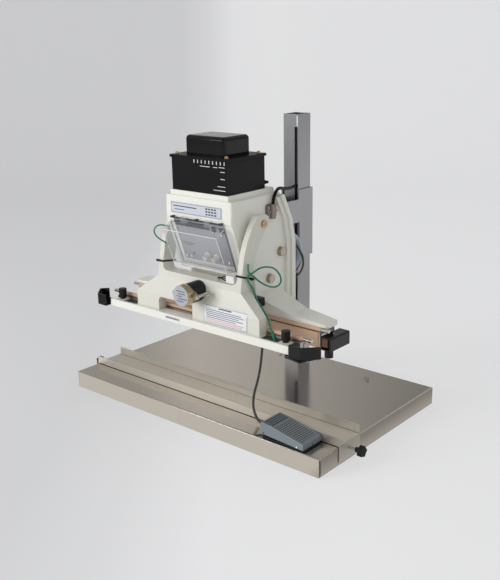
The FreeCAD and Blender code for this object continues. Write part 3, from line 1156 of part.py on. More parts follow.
def make_panel():
    """The control plate with its dials, buttons and hinge rod, and the controls and board behind it."""
    half = S.panel_half_width
    thick = S.panel_thickness
    gap = S.running_gap
    plate = box("panel_plate", (-half, -thick, -S.panel_length), (half, 0, -1))
    dial_xs = (S.dial_left_x, S.dial_left_x + S.dial_spacing)
    button_xs = (S.button_left_x, S.button_left_x + S.button_spacing)
    dial_z, button_z = -S.dial_drop, -S.button_drop
    holes = [rod(f"panel_dial_hole_{index}", (x, -thick - 1, dial_z), "y", S.dial_shaft_radius + gap, thick + 2)
             for index, x in enumerate(dial_xs)]
    holes += [rod(f"panel_button_hole_{index}", (x, -thick - 1, button_z), "y", S.button_radius + gap, thick + 2)
              for index, x in enumerate(button_xs)]
    screw_spots = [(half - 14, -28), (half - 14, -S.panel_length + 10), (5 - half, -28), (35 - half, -92)]
    heads = [rod(f"panel_screw_{index}", (x, -thick - 1.2, z), "y", 3, 1.7)
             for index, (x, z) in enumerate(screw_spots)]
    panel_node("control_panel", fuse("panel_solid", cut("panel_drilled", plate, *holes), *heads))
    for side, x in zip(("left", "right"), dial_xs):
        y = -thick - S.moving_gap - S.dial_length
        skirt = rod(f"dial_skirt_{side}", (x, -thick - S.moving_gap - 4, dial_z), "y", S.dial_radius, 4)
        grip = cone(f"dial_grip_{side}", (x, y, dial_z), "y", S.dial_radius - 3, S.dial_radius - 2, S.dial_length - 3)
        rib = box(f"dial_rib_{side}", (x - 1.2, y - 0.6, dial_z), (x + 1.2, y + 10, dial_z + S.dial_radius - 2.2))
        shaft = rod(f"dial_shaft_{side}", (x, -thick - S.moving_gap - 1, dial_z), "y", S.dial_shaft_radius,
                    thick + S.moving_gap + 1 + S.pot_length - 2)
        panel_node(f"dial_{side}", fuse(f"dial_solid_{side}", skirt, grip, rib, shaft))
    for side, x in zip(("left", "right"), button_xs):
        cap = rod(f"button_cap_{side}", (x, -thick - S.button_length, button_z), "y", S.button_radius,
                  S.button_length + thick + 2)
        stem = rod(f"button_stem_{side}", (x, 1, button_z), "y", 1.5, 5)
        panel_node(f"button_{side}", fuse(f"button_solid_{side}", cap, stem))
    units = []
    for side, x in zip(("left", "right"), dial_xs):
        can = rod(f"pot_can_{side}", (x, 0, dial_z), "y", S.pot_radius, S.pot_length)
        bore = rod(f"pot_bore_{side}", (x, -1, dial_z), "y", S.dial_shaft_radius + gap, S.pot_length - 0.5)
        units.append(cut(f"pot_{side}", can, bore))
    for side, x in zip(("left", "right"), button_xs):
        case = box(f"button_case_{side}", (x - 6, 0, button_z - 6), (x + 6, 11, button_z + 6))
        well = rod(f"button_well_{side}", (x, -1, button_z), "y", S.button_radius + gap, 5 + S.button_travel)
        stem_well = rod(f"button_stem_well_{side}", (x, 4, button_z), "y", 1.5 + gap, 4 + S.button_travel)
        units.append(cut(f"button_switch_{side}", case, well, stem_well))
    panel_node("panel_controls", together("panel_units", *units))
    depth = S.board_gap
    board = box("board_sheet", (-half + 20, depth, -S.panel_length + 8), (half - 20, depth + 1.6, -30))
    relay = box("board_relay", (-40, depth + 1.6, -80), (-12, depth + 17, -52))
    capacitor = rod("board_capacitor", (30, depth + 1.6, -52), "y", 8, 20)
    spacers = [rod(f"board_spacer_{index}", (sx * (half - 24), 0, z), "y", 3, depth)
               for index, (sx, z) in enumerate([(sx, z) for sx in (-1, 1) for z in (-34, -S.panel_length + 24)])]
    panel_node("timer_board", fuse("board_solid", board, relay, capacitor, *spacers))


def make_hood():
    """The clear cover over the panel, open behind, with two knuckles that turn on the hinge rod."""
    half = S.hood_half_width
    wall = S.hood_wall
    top = on_panel(-S.hood_clearance, -6)
    low = on_panel(-S.hood_clearance, -S.panel_length - 8)
    outline = [top, (S.hood_front_y, S.hood_front_z), (S.hood_low_y, S.hood_low_z), low]
    outer = prism("hood_outer", "YZ", outline, -half, half)
    inner_line = inset(outline, wall)
    back = (20, 5)
    open_line = [(inner_line[0][0] + back[0], inner_line[0][1] + back[1]), inner_line[0], inner_line[1],
                 inner_line[2], inner_line[3], (inner_line[3][0] + back[0], inner_line[3][1] + back[1])]
    inner = prism("hood_inner", "YZ", open_line, wall - half, half - wall)
    spans = [(-48, 20), (28, 20)]
    knuckles = [rod(f"hood_knuckle_{index}", (x, S.hood_pin_y, S.hood_pin_z), "x", S.hood_pin_radius + 3, length)
                for index, (x, length) in enumerate(spans)]
    necks = [box(f"hood_neck_{index}", (x, S.hood_pin_y - 2.5, S.hood_pin_z - 15), (x + length, S.hood_pin_y + 2.5,
             S.hood_pin_z)) for index, (x, length) in enumerate(spans)]
    bores = [rod(f"hood_bore_{index}", (x - 1, S.hood_pin_y, S.hood_pin_z), "x", S.hood_pin_radius + S.running_gap,
                 length + 2) for index, (x, length) in enumerate(spans)]
    node("hood", cut("hood_shell", fuse("hood_knuckled", outer, *knuckles, *necks), inner, *bores))
    pin = rod("hinge_pin", (-S.panel_half_width, S.hood_pin_y, S.hood_pin_z), "x", S.hood_pin_radius,
              S.panel_half_width * 2)
    lugs = [box(f"hinge_lug_{index}", (x, S.hood_pin_y - 3, S.panel_top_z + 1), (x + 6, S.housing_front,
            S.hood_pin_z + 3.5)) for index, x in enumerate((-S.panel_half_width, -3, S.panel_half_width - 6))]
    node("hood_hinge", fuse("hinge_solid", pin, *lugs))


def make_casting_bolts():
    """The four hexagon bolts with washers that hold the bracket and plates inside the housing."""
    bolts = []
    for sign in (-1, 1):
        for where, y, z in (("upper", S.bolt_upper_y, S.bolt_upper_z), ("lower", S.bolt_lower_y, S.bolt_lower_z)):
            face = S.housing_half_width

            def at(start, length):
                return face + start if sign > 0 else -(face + start + length)

            name = f"{where}_{sign}"
            washer = rod(f"washer_{name}", (at(0, S.washer_thickness), y, z), "x", S.washer_radius, S.washer_thickness)
            head = hexagon(f"bolt_head_{name}", (at(S.washer_thickness, S.bolt_head), y, z), "x", S.bolt_flats,
                           S.bolt_head)
            length = S.housing_wall + 4 + S.washer_thickness
            shank = rod(f"bolt_shank_{name}", (at(-S.housing_wall - 4, length), y, z), "x", S.bolt_radius, length)
            nut = hexagon(f"bolt_nut_{name}", (at(-S.housing_wall - 5, 5), y, z), "x", S.bolt_flats - 2, 5)
            bolts.append(fuse(f"bolt_{name}", washer, head, shank, nut))
    node("casting_bolts", together("casting_bolt_set", *bolts))


def make_gland():
    """The metal saddle that holds the mains cord on the housing's right side."""
    face = S.housing_half_width
    half = S.gland_half_width
    plate = box("gland_plate", (face, S.gland_y - half, S.gland_z - S.gland_height / 2),
                (face + 4, S.gland_y + half, S.gland_z + S.gland_height / 2))
    plate = round_part("gland_plate_round", plate, 6, lambda edge: runs(edge, X_AXIS))
    barrel = rod("gland_barrel", (face + S.gland_depth / 2, S.gland_y, S.gland_z - S.gland_height / 2), "z",
                 S.gland_depth / 2, S.gland_height)
    lobes = [rod(f"gland_lobe_{sign}", (face + 4, S.gland_y + sign * 11.5, S.gland_z - S.gland_height / 2 + 3), "z",
                 5, S.gland_height - 6) for sign in (-1, 1)]
    lobes = [common(f"gland_lobe_cut_{index}", lobe, box(f"gland_lobe_side_{index}", (face, S.gland_y - half, S.gland_z - 30),
             (face + S.gland_depth, S.gland_y + half, S.gland_z + 30))) for index, lobe in enumerate(lobes)]
    screws = [rod(f"gland_screw_{sign}", (face + 8, S.gland_y + sign * 11.5, S.gland_z), "x", 3.4, 3)
              for sign in (-1, 1)]
    bore = rod("gland_bore", (face + S.gland_depth / 2, S.gland_y, S.gland_z - S.gland_height / 2 - 1), "z",
               S.mains_cord_radius + S.running_gap, S.gland_height + 2)
    node("cable_gland", cut("gland_bored", fuse("gland_solid", plate, barrel, *lobes, *screws), bore))


def route(points, bends):
    """The straight runs and tangent arcs of a cord: a bend radius for each inner point."""
    spots = [Vector(*[float(v) for v in point]) for point in points]
    edges = []
    start = spots[0]
    for index, bend in enumerate(bends, start=1):
        corner = spots[index]
        back = (spots[index - 1] - corner).normalize()
        ahead = (spots[index + 1] - corner).normalize()
        angle = back.getAngle(ahead)
        reach = bend / math.tan(angle / 2)
        first = corner + back * reach
        last = corner + ahead * reach
        centre = corner + (back + ahead).normalize() * (bend / math.sin(angle / 2))
        mid = centre + (corner - centre).normalize() * bend
        edges.append(Part.LineSegment(start, first).toShape())
        edges.append(Part.Arc(first, mid, last).toShape())
        start = last
    edges.append(Part.LineSegment(start, spots[-1]).toShape())
    return Part.Wire(edges)


def bend_radii(points, diameter, limit):
    """A bend radius for each inner point, from the shorter run beside it and the turn there."""
    spots = [Vector(*[float(v) for v in point]) for point in points]
    radii = []
    for index in range(1, len(spots) - 1):
        back = spots[index - 1] - spots[index]
        ahead = spots[index + 1] - spots[index]
        turn = math.pi - back.getAngle(ahead)
        radius = min(0.45 * min(back.Length, ahead.Length) / math.tan(turn / 2), limit)
        if radius < diameter * 3:
            raise ValueError(f"bend {index} of {radius:.1f} mm is too tight for a cord of {diameter} mm")
        if turn > math.pi / 2:
            raise ValueError(f"turn {index} is over a right angle")
        radii.append(radius)
    return radii


def cord(name, points, radius, limit=60.0):
    """A round cord along a route of tangent arcs."""
    radii = bend_radii(points, float(radius) * 2, limit)
    print(name, "bend radii", [round(value, 1) for value in radii])
    wire = route(points, radii)
    first = wire.Edges[0]
    circle = Part.Wire([Part.makeCircle(float(radius), first.valueAt(first.FirstParameter),
                                        first.tangentAt(first.FirstParameter))])
    tube = wire.makePipeShell([circle], True, True, 2)
    expected = math.pi * float(radius) ** 2 * wire.Length
    if abs(tube.Volume / expected - 1) > 0.02:
        raise ValueError(f"{name} has a volume of {tube.Volume:.0f}, not {expected:.0f}")
    feature = doc.addObject("Part::Feature", name)
    feature.Shape = tube
    return feature


def make_cords():
    """The mains cord into the post, the pedal's cord, the wire loom and the earth wires."""
    gland = (S.housing_half_width + S.gland_depth / 2, S.gland_y, S.gland_z)
    inlet = S.post_front
    mains = [gland[:2] + (S.gland_z - 12,), gland[:2] + (S.gland_z + 24,), (gland[0], S.gland_y + 14, 508),
             (104, 241, 516), (84, 266, 513), (56, 322, 501), (34, 374, 494), (16.5, inlet - 11, 490),
             (16.5, inlet + 17, 485), (10, inlet + 29, 460), (4, inlet + 31, 420), (4, inlet + 31, 380)]
    node("mains_cord", cord("mains_tube", mains, S.mains_cord_radius, 45))
    pedal = [(S.pedal_cord_x, S.pedal_cord_y + 0.3, 236), (S.pedal_cord_x, 244, 200), (66, 222, 130), (88, 186, 78), (120, 136, 62), (146, 92, 54),
             (168, 60, 44), (188, 42, 30), (206, 36, 16), (228, 36, 12), (246, 36, 12)]
    node("pedal_cord", cord("pedal_tube", pedal, S.pedal_cord_radius, 40))
    loom = [(45, 284, 380), (45, 350, 380), (42, S.post_front - 17, 345), (40, S.post_front - 17, 280), (40, 350, 246), (40, 284, 246)]
    node("wire_loom", cord("loom_tube", loom, S.loom_radius, 60))


def make_pedal():
    """The foot switch: a base, a hinged lid, and the spring and switch between them."""
    x0 = S.pedal_start
    length = S.pedal_length
    front = S.pedal_front
    rear = front + S.pedal_width
    wall = S.pedal_wall
    floor = S.pedal_floor
    gap = S.moving_gap
    hinge_x = x0 + length - S.pedal_pin_inset
    base = box("pedal_plate", (x0 + 3, front + 3, 0), (x0 + length - 2, rear - 3, floor))
    walls = [prism(f"pedal_wall_{index}", "XZ", [
        (x0 + wall + 2, floor - 1), (hinge_x + 5, floor - 1), (hinge_x + 5, floor + 8), (x0 + wall + 2, floor + 20)],
        start, start + 2) for index, start in enumerate((front + 6, rear - 8))]
    pin_holes = [rod(f"pedal_pin_hole_{index}", (hinge_x, start, S.pedal_pin_height), "y",
                     S.pedal_pin_radius + S.running_gap, 4) for index, start in enumerate((front + 5, rear - 9))]
    heel = box("pedal_heel_wall", (x0 + wall + 2, front + 6, floor - 1), (x0 + wall + 4, rear - 6, floor + 20))
    cord_hole = rod("pedal_cord_hole", (x0 - 5, front + S.pedal_width / 2, 12), "x", S.pedal_cord_radius + S.running_gap, 22)
    node("pedal_base", cut("pedal_base_drilled", fuse("pedal_base_solid", base, heel, *walls), *pin_holes, cord_hole))
    outline = [(x0, S.pedal_skirt_heel), (x0, S.pedal_heel_height - 3), (x0 + 2, S.pedal_heel_height),
               (x0 + S.pedal_break, S.pedal_break_height), (x0 + length - 6, S.pedal_toe_height),
               (x0 + length, S.pedal_toe_height - 3), (x0 + length, S.pedal_skirt_toe)]
    shell = prism("pedal_shell", "XZ", outline, front, rear)
    inner = inset(outline, wall)
    hollow_line = [(x0 + wall, 0)] + [inner[1], inner[2], inner[3], inner[4], inner[5]] + [(x0 + length - wall, 0)]
    hollow = prism("pedal_hollow", "XZ", hollow_line, front + wall, rear - wall)
    notch = box("pedal_notch", (x0 - 1, front + S.pedal_width / 2 - 6, 0), (x0 + wall + 1, front + S.pedal_width / 2 + 6, 24))
    pins = [rod(f"pedal_pin_{index}", (hinge_x, start, S.pedal_pin_height), "y", S.pedal_pin_radius, reach)
            for index, (start, reach) in enumerate(((front + wall - 0.5, 6), (rear - wall - 5.5, 6)))]
    ribs = []
    for index in range(4):
        x = x0 + 5 + 6.5 * index
        z = S.pedal_heel_height - (S.pedal_heel_height - S.pedal_break_height) * ((3 + 6.5 * index) / 30)
        ribs.append(box(f"pedal_rib_{index}", (x, front + 6, z - 1), (x + 2.6, rear - 6, z + 1.1)))
    node("pedal_lid", fuse("pedal_lid_solid", cut("pedal_lid_shell", shell, hollow, notch), *pins, *ribs))
    spring_x = x0 + 30
    coil = doc.addObject("Part::Helix", "spring_path")
    bind(coil, "Pitch", 5)
    bind(coil, "Height", 26)
    bind(coil, "Radius", 5)
    place(coil, (spring_x, front + S.pedal_width / 2 - 14, floor + 1))
    profile = doc.addObject("Part::Circle", "spring_section")
    bind(profile, "Radius", 0.8)
    place(profile, (spring_x + 5, front + S.pedal_width / 2 - 14, floor + 1), ALONG_Y)
    spring = doc.addObject("Part::Sweep", "spring_wire")
    spring.Sections = [profile]
    spring.Spine = coil
    spring.Solid = True
    spring.Frenet = True
    node("pedal_spring", spring)
    micro = box("micro_case", (x0 + 52, front + S.pedal_width / 2 - 8, floor), (x0 + 80, front + S.pedal_width / 2 + 8,
                                                                               floor + 13))
    stem = rod("micro_button", (x0 + 60, front + S.pedal_width / 2, floor + 13), "z", 2, 3)
    node("pedal_switch", fuse("micro_solid", micro, stem))


make_table()
make_post()
make_rest()
make_rest_knob("rest_knob_left", -1)
make_rest_knob("rest_knob_right", 1)
make_bracket()
make_height_knob()
make_casting()
make_yoke()
make_pivots()
make_front_jaw()
make_front_caps()
make_thumb_nut("thumb_nut_left", -1)
make_thumb_nut("thumb_nut_right", 1)
make_rear_jaw()
make_motor()
make_solenoid()
make_limit_switch()
make_transformer()
make_panel()
make_hood()
make_casting_bolts()
make_gland()
make_cords()
make_pedal()
doc.recompute()

faults = [f"{item.Name}: {item.State}" for item in doc.Objects if "Invalid" in item.State or "Error" in item.State]
for feature in NODES:
    shape = feature.Shape
    if shape.isNull() or not shape.isValid() or not shape.Solids:
        faults.append(f"{feature.Label}: no valid solid")
if faults:
    raise RuntimeError("\n".join(faults))

os.makedirs("parts", exist_ok=True)
for feature in NODES:
    feature.Shape.exportStep(os.path.join("parts", feature.Label + ".step"))
    bounds = feature.Shape.BoundBox
    print(f"{feature.Label}: {len(feature.Shape.Solids)} solids, {feature.Shape.Volume / 1000:.1f} cm3, "
          f"x {bounds.XMin:.1f} {bounds.XMax:.1f}, y {bounds.YMin:.1f} {bounds.YMax:.1f}, "
          f"z {bounds.ZMin:.1f} {bounds.ZMax:.1f}")
print(len(NODES), "sub-parts")
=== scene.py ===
"""Looks of a foot pedal sealer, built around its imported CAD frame.

Lengths inside the classes are in millimetres on the bench frame, with x across the table from its
middle, y from the table's front edge to the rear and z up from the table's top. ``spot`` turns
them into the row frame in metres.
"""

import json
import logging
import math
from dataclasses import dataclass, field
from enum import Enum

import bmesh
import bpy
from mathutils import Matrix, Vector

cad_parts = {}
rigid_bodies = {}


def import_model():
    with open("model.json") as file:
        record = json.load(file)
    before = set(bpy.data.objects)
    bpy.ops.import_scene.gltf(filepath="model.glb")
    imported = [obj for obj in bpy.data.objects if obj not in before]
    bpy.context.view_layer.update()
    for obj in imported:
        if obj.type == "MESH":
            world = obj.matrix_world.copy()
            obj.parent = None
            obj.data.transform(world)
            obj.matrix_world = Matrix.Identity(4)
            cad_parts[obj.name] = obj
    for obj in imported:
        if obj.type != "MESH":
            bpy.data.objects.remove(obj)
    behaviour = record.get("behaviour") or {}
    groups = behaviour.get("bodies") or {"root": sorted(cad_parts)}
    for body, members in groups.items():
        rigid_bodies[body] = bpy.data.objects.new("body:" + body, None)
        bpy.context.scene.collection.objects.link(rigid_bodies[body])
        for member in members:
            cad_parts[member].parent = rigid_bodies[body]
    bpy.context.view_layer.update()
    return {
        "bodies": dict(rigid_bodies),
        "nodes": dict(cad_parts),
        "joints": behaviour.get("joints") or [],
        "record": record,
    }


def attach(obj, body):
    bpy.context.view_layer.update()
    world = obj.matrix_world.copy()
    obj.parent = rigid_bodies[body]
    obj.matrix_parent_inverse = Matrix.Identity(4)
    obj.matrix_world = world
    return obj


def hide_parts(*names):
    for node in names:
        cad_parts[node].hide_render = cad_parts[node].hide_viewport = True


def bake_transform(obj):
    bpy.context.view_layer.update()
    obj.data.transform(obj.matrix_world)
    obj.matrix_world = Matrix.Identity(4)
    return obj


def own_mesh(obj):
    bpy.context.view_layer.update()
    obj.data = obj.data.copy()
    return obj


LOG = logging.getLogger("sealer")
MM = 0.001
TABLE_FRONT = -244.0
TABLE_TOP = 44.0
HOOD_HINGE_Y = 73.0
HOOD_HINGE_Z = 449.0
PANEL_LEAN = math.atan2(44.0, 123.0)
SMOOTH_BELOW = math.radians(35)
ACROSS = Vector((1, 0, 0))
BACK = Vector((0, 1, 0))
UP = Vector((0, 0, 1))


def spot(x: float, y: float, z: float) -> Vector:
    """A bench point in the row frame.

    Args:
        x: Millimetres across the table from its middle.
        y: Millimetres behind the table's front edge.
        z: Millimetres above the table's top.

    Returns:
        The point in metres.
    """
    return Vector((x * MM, (y + TABLE_FRONT) * MM, (z + TABLE_TOP) * MM))


def panel_spot(x: float, depth: float, rise: float) -> Vector:
    """A point given along the leaning control panel, in the row frame.

    Args:
        x: Millimetres across.
        depth: Millimetres into the housing from the panel's face.
        rise: Millimetres up the slope from the hinge line.

    Returns:
        The point in metres.
    """
    return spot(x, HOOD_HINGE_Y + depth * math.cos(PANEL_LEAN) - rise * math.sin(PANEL_LEAN),
                HOOD_HINGE_Z + depth * math.sin(PANEL_LEAN) + rise * math.cos(PANEL_LEAN))


def linear(code: str) -> tuple[float, float, float, float]:
    """Turns a six-digit colour code into linear light.

    Args:
        code: Red, green and blue as two hexadecimal digits each.

    Returns:
        Linear red, green, blue and an alpha of one.
    """
    parts = [int(code[i:i + 2], 16) / 255 for i in (0, 2, 4)]
    light = [p / 12.92 if p <= 0.04045 else ((p + 0.055) / 1.055) ** 2.4 for p in parts]
    return (light[0], light[1], light[2], 1.0)


def add_node(tree: bpy.types.NodeTree, kind: str, values: dict[str | int, object] | None = None,
             **settings: object) -> bpy.types.Node:
    """Adds a node to a tree.

    Args:
        tree: The node tree of a material or of Geometry Nodes.
        kind: The node's type.
        values: The values of its inputs, by name or number.
        settings: Its own settings.

    Returns:
        The new node.
    """
    made = tree.nodes.new(kind)
    for key, value in settings.items():
        setattr(made, key, value)
    for key, value in (values or {}).items():
        made.inputs[key].default_value = value
    return made


class Grain(Enum):
    """The small relief and streaks that a surface shows."""

    CAST = "cast"
    BRUSHED_X = "brushed_x"
    BRUSHED_Z = "brushed_z"
    POWDER = "powder"
    MOULDED = "moulded"
    SMOOTH = "smooth"
    WOVEN = "woven"


EVEN = (1.0, 1.0, 1.0)
STRETCH: dict[Grain, tuple[float, float, float]] = {
    Grain.BRUSHED_X: (0.02, 1.0, 1.0),
    Grain.BRUSHED_Z: (1.0, 1.0, 0.02),
}
BLOTCH_SCALE = 9.0
BLOTCH_DETAIL = 3.0
BUMP_STRENGTH = 0.6
COAT_ROUGHNESS = 0.12
WEAVE_DISTORTION = 0.4
FINE_DETAIL = 4.0
PLAIN_DETAIL = 1.0


@dataclass(frozen=True)
class Finish:
    """One surface finish, from its two tones, its gloss and its grain, with the name of its slot."""

    name: str
    colour: str
    shade: str
    grain: Grain
    grain_scale: float
    relief: float
    roughness: float
    roughness_spread: float = 0.05
    metallic: float = 0.0
    coat: float = 0.0
    clear: float = 0.0
    specular: float = 0.5
    rounding: float = 0.0006
    blotch: float = 0.5
    slot: str = ""

    def material(self) -> bpy.types.Material:
        """The node material of this finish, made once.

        Returns:
            The material.
        """
        made = bpy.data.materials.get(self.name)
        if made is not None:
            return made
        made = bpy.data.materials.new(self.name)
        made.use_nodes = True
        made.diffuse_color = linear(self.colour)
        tree = made.node_tree
        shader = tree.nodes["Principled BSDF"]
        for key, value in (("Metallic", self.metallic), ("Coat Weight", self.coat),
                           ("Coat Roughness", COAT_ROUGHNESS), ("Specular IOR Level", self.specular),
                           ("Alpha", 1.0 - self.clear)):
            shader.inputs[key].default_value = value
        place = add_node(tree, "ShaderNodeTexCoord").outputs["Object"]
        mapping = add_node(tree, "ShaderNodeMapping", {"Scale": STRETCH.get(self.grain, EVEN)})
        tree.links.new(place, mapping.inputs["Vector"])
        fine = self._grain_pattern(tree, mapping.outputs["Vector"])
        tree.links.new(self._tone(tree, place, fine), shader.inputs["Base Color"])
        rough = add_node(tree, "ShaderNodeMapRange", {
            "To Min": max(0.02, self.roughness - self.roughness_spread),
            "To Max": min(1.0, self.roughness + self.roughness_spread)})
        tree.links.new(fine, rough.inputs["Value"])
        tree.links.new(rough.outputs["Result"], shader.inputs["Roughness"])
        self._shape_normal(tree, fine, shader.inputs["Normal"])
        return made

    def _tone(self, tree: bpy.types.NodeTree, place: bpy.types.NodeSocket,
              fine: bpy.types.NodeSocket) -> bpy.types.NodeSocket:
        """Mixes the two tones by the grain and by broad soft blotches.

        Args:
            tree: The material's node tree.
            place: The object's coordinates.
            fine: The grain's value.

        Returns:
            The mixed colour.
        """
        broad = add_node(tree, "ShaderNodeTexNoise", {"Scale": BLOTCH_SCALE, "Detail": BLOTCH_DETAIL})
        scaled = add_node(tree, "ShaderNodeMath", {1: self.blotch}, operation="MULTIPLY")
        weigh = add_node(tree, "ShaderNodeMath", {1: 1.0 - self.blotch},
                         operation="MULTIPLY_ADD", use_clamp=True)
        mixer = add_node(tree, "ShaderNodeMix", {6: linear(self.colour), 7: linear(self.shade)},
                         data_type="RGBA")
        tree.links.new(place, broad.inputs["Vector"])
        tree.links.new(broad.outputs[0], scaled.inputs[0])
        tree.links.new(fine, weigh.inputs[0])
        tree.links.new(scaled.outputs[0], weigh.inputs[2])
        tree.links.new(weigh.outputs[0], mixer.inputs[0])
        return mixer.outputs[2]

    def _shape_normal(self, tree: bpy.types.NodeTree, fine: bpy.types.NodeSocket,
                      entry: bpy.types.NodeSocket) -> None:
        """Gives the surface its grain's relief and softened edges.

        Args:
            tree: The material's node tree.
            fine: The grain's value.
            entry: The socket that takes the normal.
        """
        if self.relief > 0:
            bump = add_node(tree, "ShaderNodeBump", {"Strength": BUMP_STRENGTH, "Distance": self.relief})
            tree.links.new(fine, bump.inputs["Height"])
            tree.links.new(bump.outputs["Normal"], entry)
            entry = bump.inputs["Normal"]
        if self.rounding > 0:
            edge = add_node(tree, "ShaderNodeBevel", {"Radius": self.rounding}, samples=4)
            tree.links.new(edge.outputs["Normal"], entry)

    def _grain_pattern(self, tree: bpy.types.NodeTree, place: bpy.types.NodeSocket) -> bpy.types.NodeSocket:
        """Builds the fine pattern.

        Args:
            tree: The material's node tree.
            place: The stretched coordinates.

        Returns:
            The pattern's value, from 0 to 1.
        """
        if self.grain is Grain.WOVEN:
            both = add_node(tree, "ShaderNodeMath", operation="MULTIPLY")
            for index, axis in enumerate(("X", "Z")):
                wave = add_node(tree, "ShaderNodeTexWave", {
                    "Scale": self.grain_scale, "Distortion": WEAVE_DISTORTION}, bands_direction=axis)
                tree.links.new(place, wave.inputs["Vector"])
                tree.links.new(wave.outputs["Fac"], both.inputs[index])
            return both.outputs[0]
        if self.grain is Grain.MOULDED:
            cells = add_node(tree, "ShaderNodeTexVoronoi", {"Scale": self.grain_scale})
            tree.links.new(place, cells.inputs["Vector"])
            return cells.outputs["Distance"]
        detail = PLAIN_DETAIL if self.grain is Grain.SMOOTH else FINE_DETAIL
        noise = add_node(tree, "ShaderNodeTexNoise", {"Scale": self.grain_scale, "Detail": detail})
        tree.links.new(place, noise.inputs["Vector"])
        return noise.outputs[0]


CREAM = Finish("cream_enamel", "F4F4ED", "EBEBE1", Grain.CAST, 260.0, 0.00012, 0.3, 0.06, coat=0.3,
               rounding=0.0016, slot="cream_paint")
# A darker copy of the cream enamel for the yoke: painted shade, as the yoke wears the same cream as the
# casting.
CREAM_SHADED = Finish("cream_enamel_yoke_shaded", "E3E2D8", "DAD9CD", Grain.CAST, 260.0, 0.00012, 0.32, 0.06, coat=0.2,
                    rounding=0.0016, slot="cream_paint")
STAINLESS = Finish("brushed_stainless", "CBC5BC", "C1BBB2", Grain.BRUSHED_X, 900.0, 0.0, 0.15, 0.02, 1.0,
                   rounding=0.0012, slot="stainless")
REST_STEEL = Finish("rest_stainless", "DDD7CD", "D3CCC1", Grain.BRUSHED_X, 900.0, 0.0, 0.3, 0.02, 0.72,
                    slot="stainless")
GREY_STEEL = Finish("zinc_grey_steel", "ABACB0", "A1A2A6", Grain.BRUSHED_Z, 500.0, 0.00002, 0.32, 0.06, 1.0,
                    rounding=0.0008, slot="grey_steel")
BRIGHT_STEEL = Finish("bright_zinc_steel", "D6D4CF", "BFBDB9", Grain.BRUSHED_Z, 420.0, 0.00002, 0.25, 0.06,
                      1.0, slot="zinc_steel")
AGED_ZINC = Finish("aged_zinc", "BDB7A8", "A59E8C", Grain.BRUSHED_Z, 420.0, 0.00002, 0.28, 0.06, 1.0,
                   slot="zinc_steel")
STUD = Finish("plated_stud", "C8C8C6", "BCBCBA", Grain.SMOOTH, 60.0, 0.00001, 0.25, 0.04, 0.9, rounding=0)
CLAMP = Finish("cast_zinc_brown", "9C9189", "857A72", Grain.CAST, 300.0, 0.00006, 0.36, 0.06, 0.6,
               slot="zinc_steel")
ALUMINIUM = Finish("milled_aluminium", "BDBDBE", "A5A5A8", Grain.BRUSHED_X, 700.0, 0.00002, 0.32, 0.06, 1.0,
                   slot="aluminium")
BRASS = Finish("turned_brass", "C9B183", "B39766", Grain.BRUSHED_Z, 600.0, 0.00002, 0.3, 0.06, 0.9,
               slot="brass")
GOLD_ZINC = Finish("yellow_zinc", "CDBE9C", "B6A27A", Grain.BRUSHED_Z, 400.0, 0.00002, 0.24, 0.05, 1.0,
                   slot="motor_gold")
COPPER = Finish("wound_copper", "8A4A22", "6E3A1C", Grain.BRUSHED_X, 900.0, 0.00006, 0.45, 0.05, 0.3,
                rounding=0)
HEATER = Finish("heating_band", "8E867C", "7A7268", Grain.BRUSHED_X, 500.0, 0.00001, 0.4, 0.05, 1.0,
                rounding=0)
SLIP_SHEET = Finish("tan_slip_sheet", "DAB99E", "CAA589", Grain.WOVEN, 700.0, 0.00004, 0.45, 0.06,
                    slot="ptfe_tan")
BLACK_BOX = Finish("black_stoved_paint", "09090A", "0F0F10", Grain.POWDER, 900.0, 0.00005, 0.4, 0.06,
                   specular=0.22, slot="black_paint")
BLACK_GLOSS = Finish("black_gloss_enamel", "0A0A0B", "101012", Grain.SMOOTH, 30.0, 0.00002, 0.08, 0.03,
                     specular=0.3, slot="black_gloss")
BLACK_PLASTIC = Finish("black_moulding", "18181A", "202023", Grain.MOULDED, 1400.0, 0.00003, 0.38, 0.06,
                       specular=0.3, slot="black_plastic")
WHITE_PLASTIC = Finish("white_moulding", "F0F0EE", "E6E6E3", Grain.MOULDED, 900.0, 0.00002, 0.4, 0.05)
IVORY = Finish("ivory_moulding", "ECE7DC", "DFD8CA", Grain.MOULDED, 900.0, 0.00002, 0.33, 0.05, coat=0.2,
               slot="ivory_plastic")
TERMINAL = Finish("brown_phenolic", "7E5138", "6B432D", Grain.MOULDED, 800.0, 0.00003, 0.4, 0.05,
                  slot="terminal_brown")
BOARD = Finish("green_board", "2C6B3A", "24592F", Grain.POWDER, 300.0, 0.00002, 0.45, 0.05, rounding=0)
PANEL = Finish("etched_panel", "BBBCC2", "B0B1B8", Grain.BRUSHED_X, 800.0, 0.00001, 0.38, 0.05, 0.55,
               slot="panel_grey")
CLEAR = Finish("clear_acrylic", "CDD1D8", "C9CDD4", Grain.SMOOTH, 20.0, 0.0, 0.03, 0.01, clear=0.85,
               rounding=0)
# Painted highlight: the light that the clear hood's edges catch.
HOOD_EDGE_HIGHLIGHT = Finish("painted_edge_highlight", "F4F6F7", "E6E9EC", Grain.SMOOTH, 40.0, 0.0, 0.3, 0.05, coat=0.3, rounding=0)
EDGE_DARK = Finish("acrylic_shaded_edge", "6A707B", "5E646F", Grain.SMOOTH, 60.0, 0.0, 0.25, 0.04, rounding=0)
BAND_DARK = Finish("black_band", "1A1A1D", "151518", Grain.SMOOTH, 60.0, 0.0, 0.3, 0.04, rounding=0)
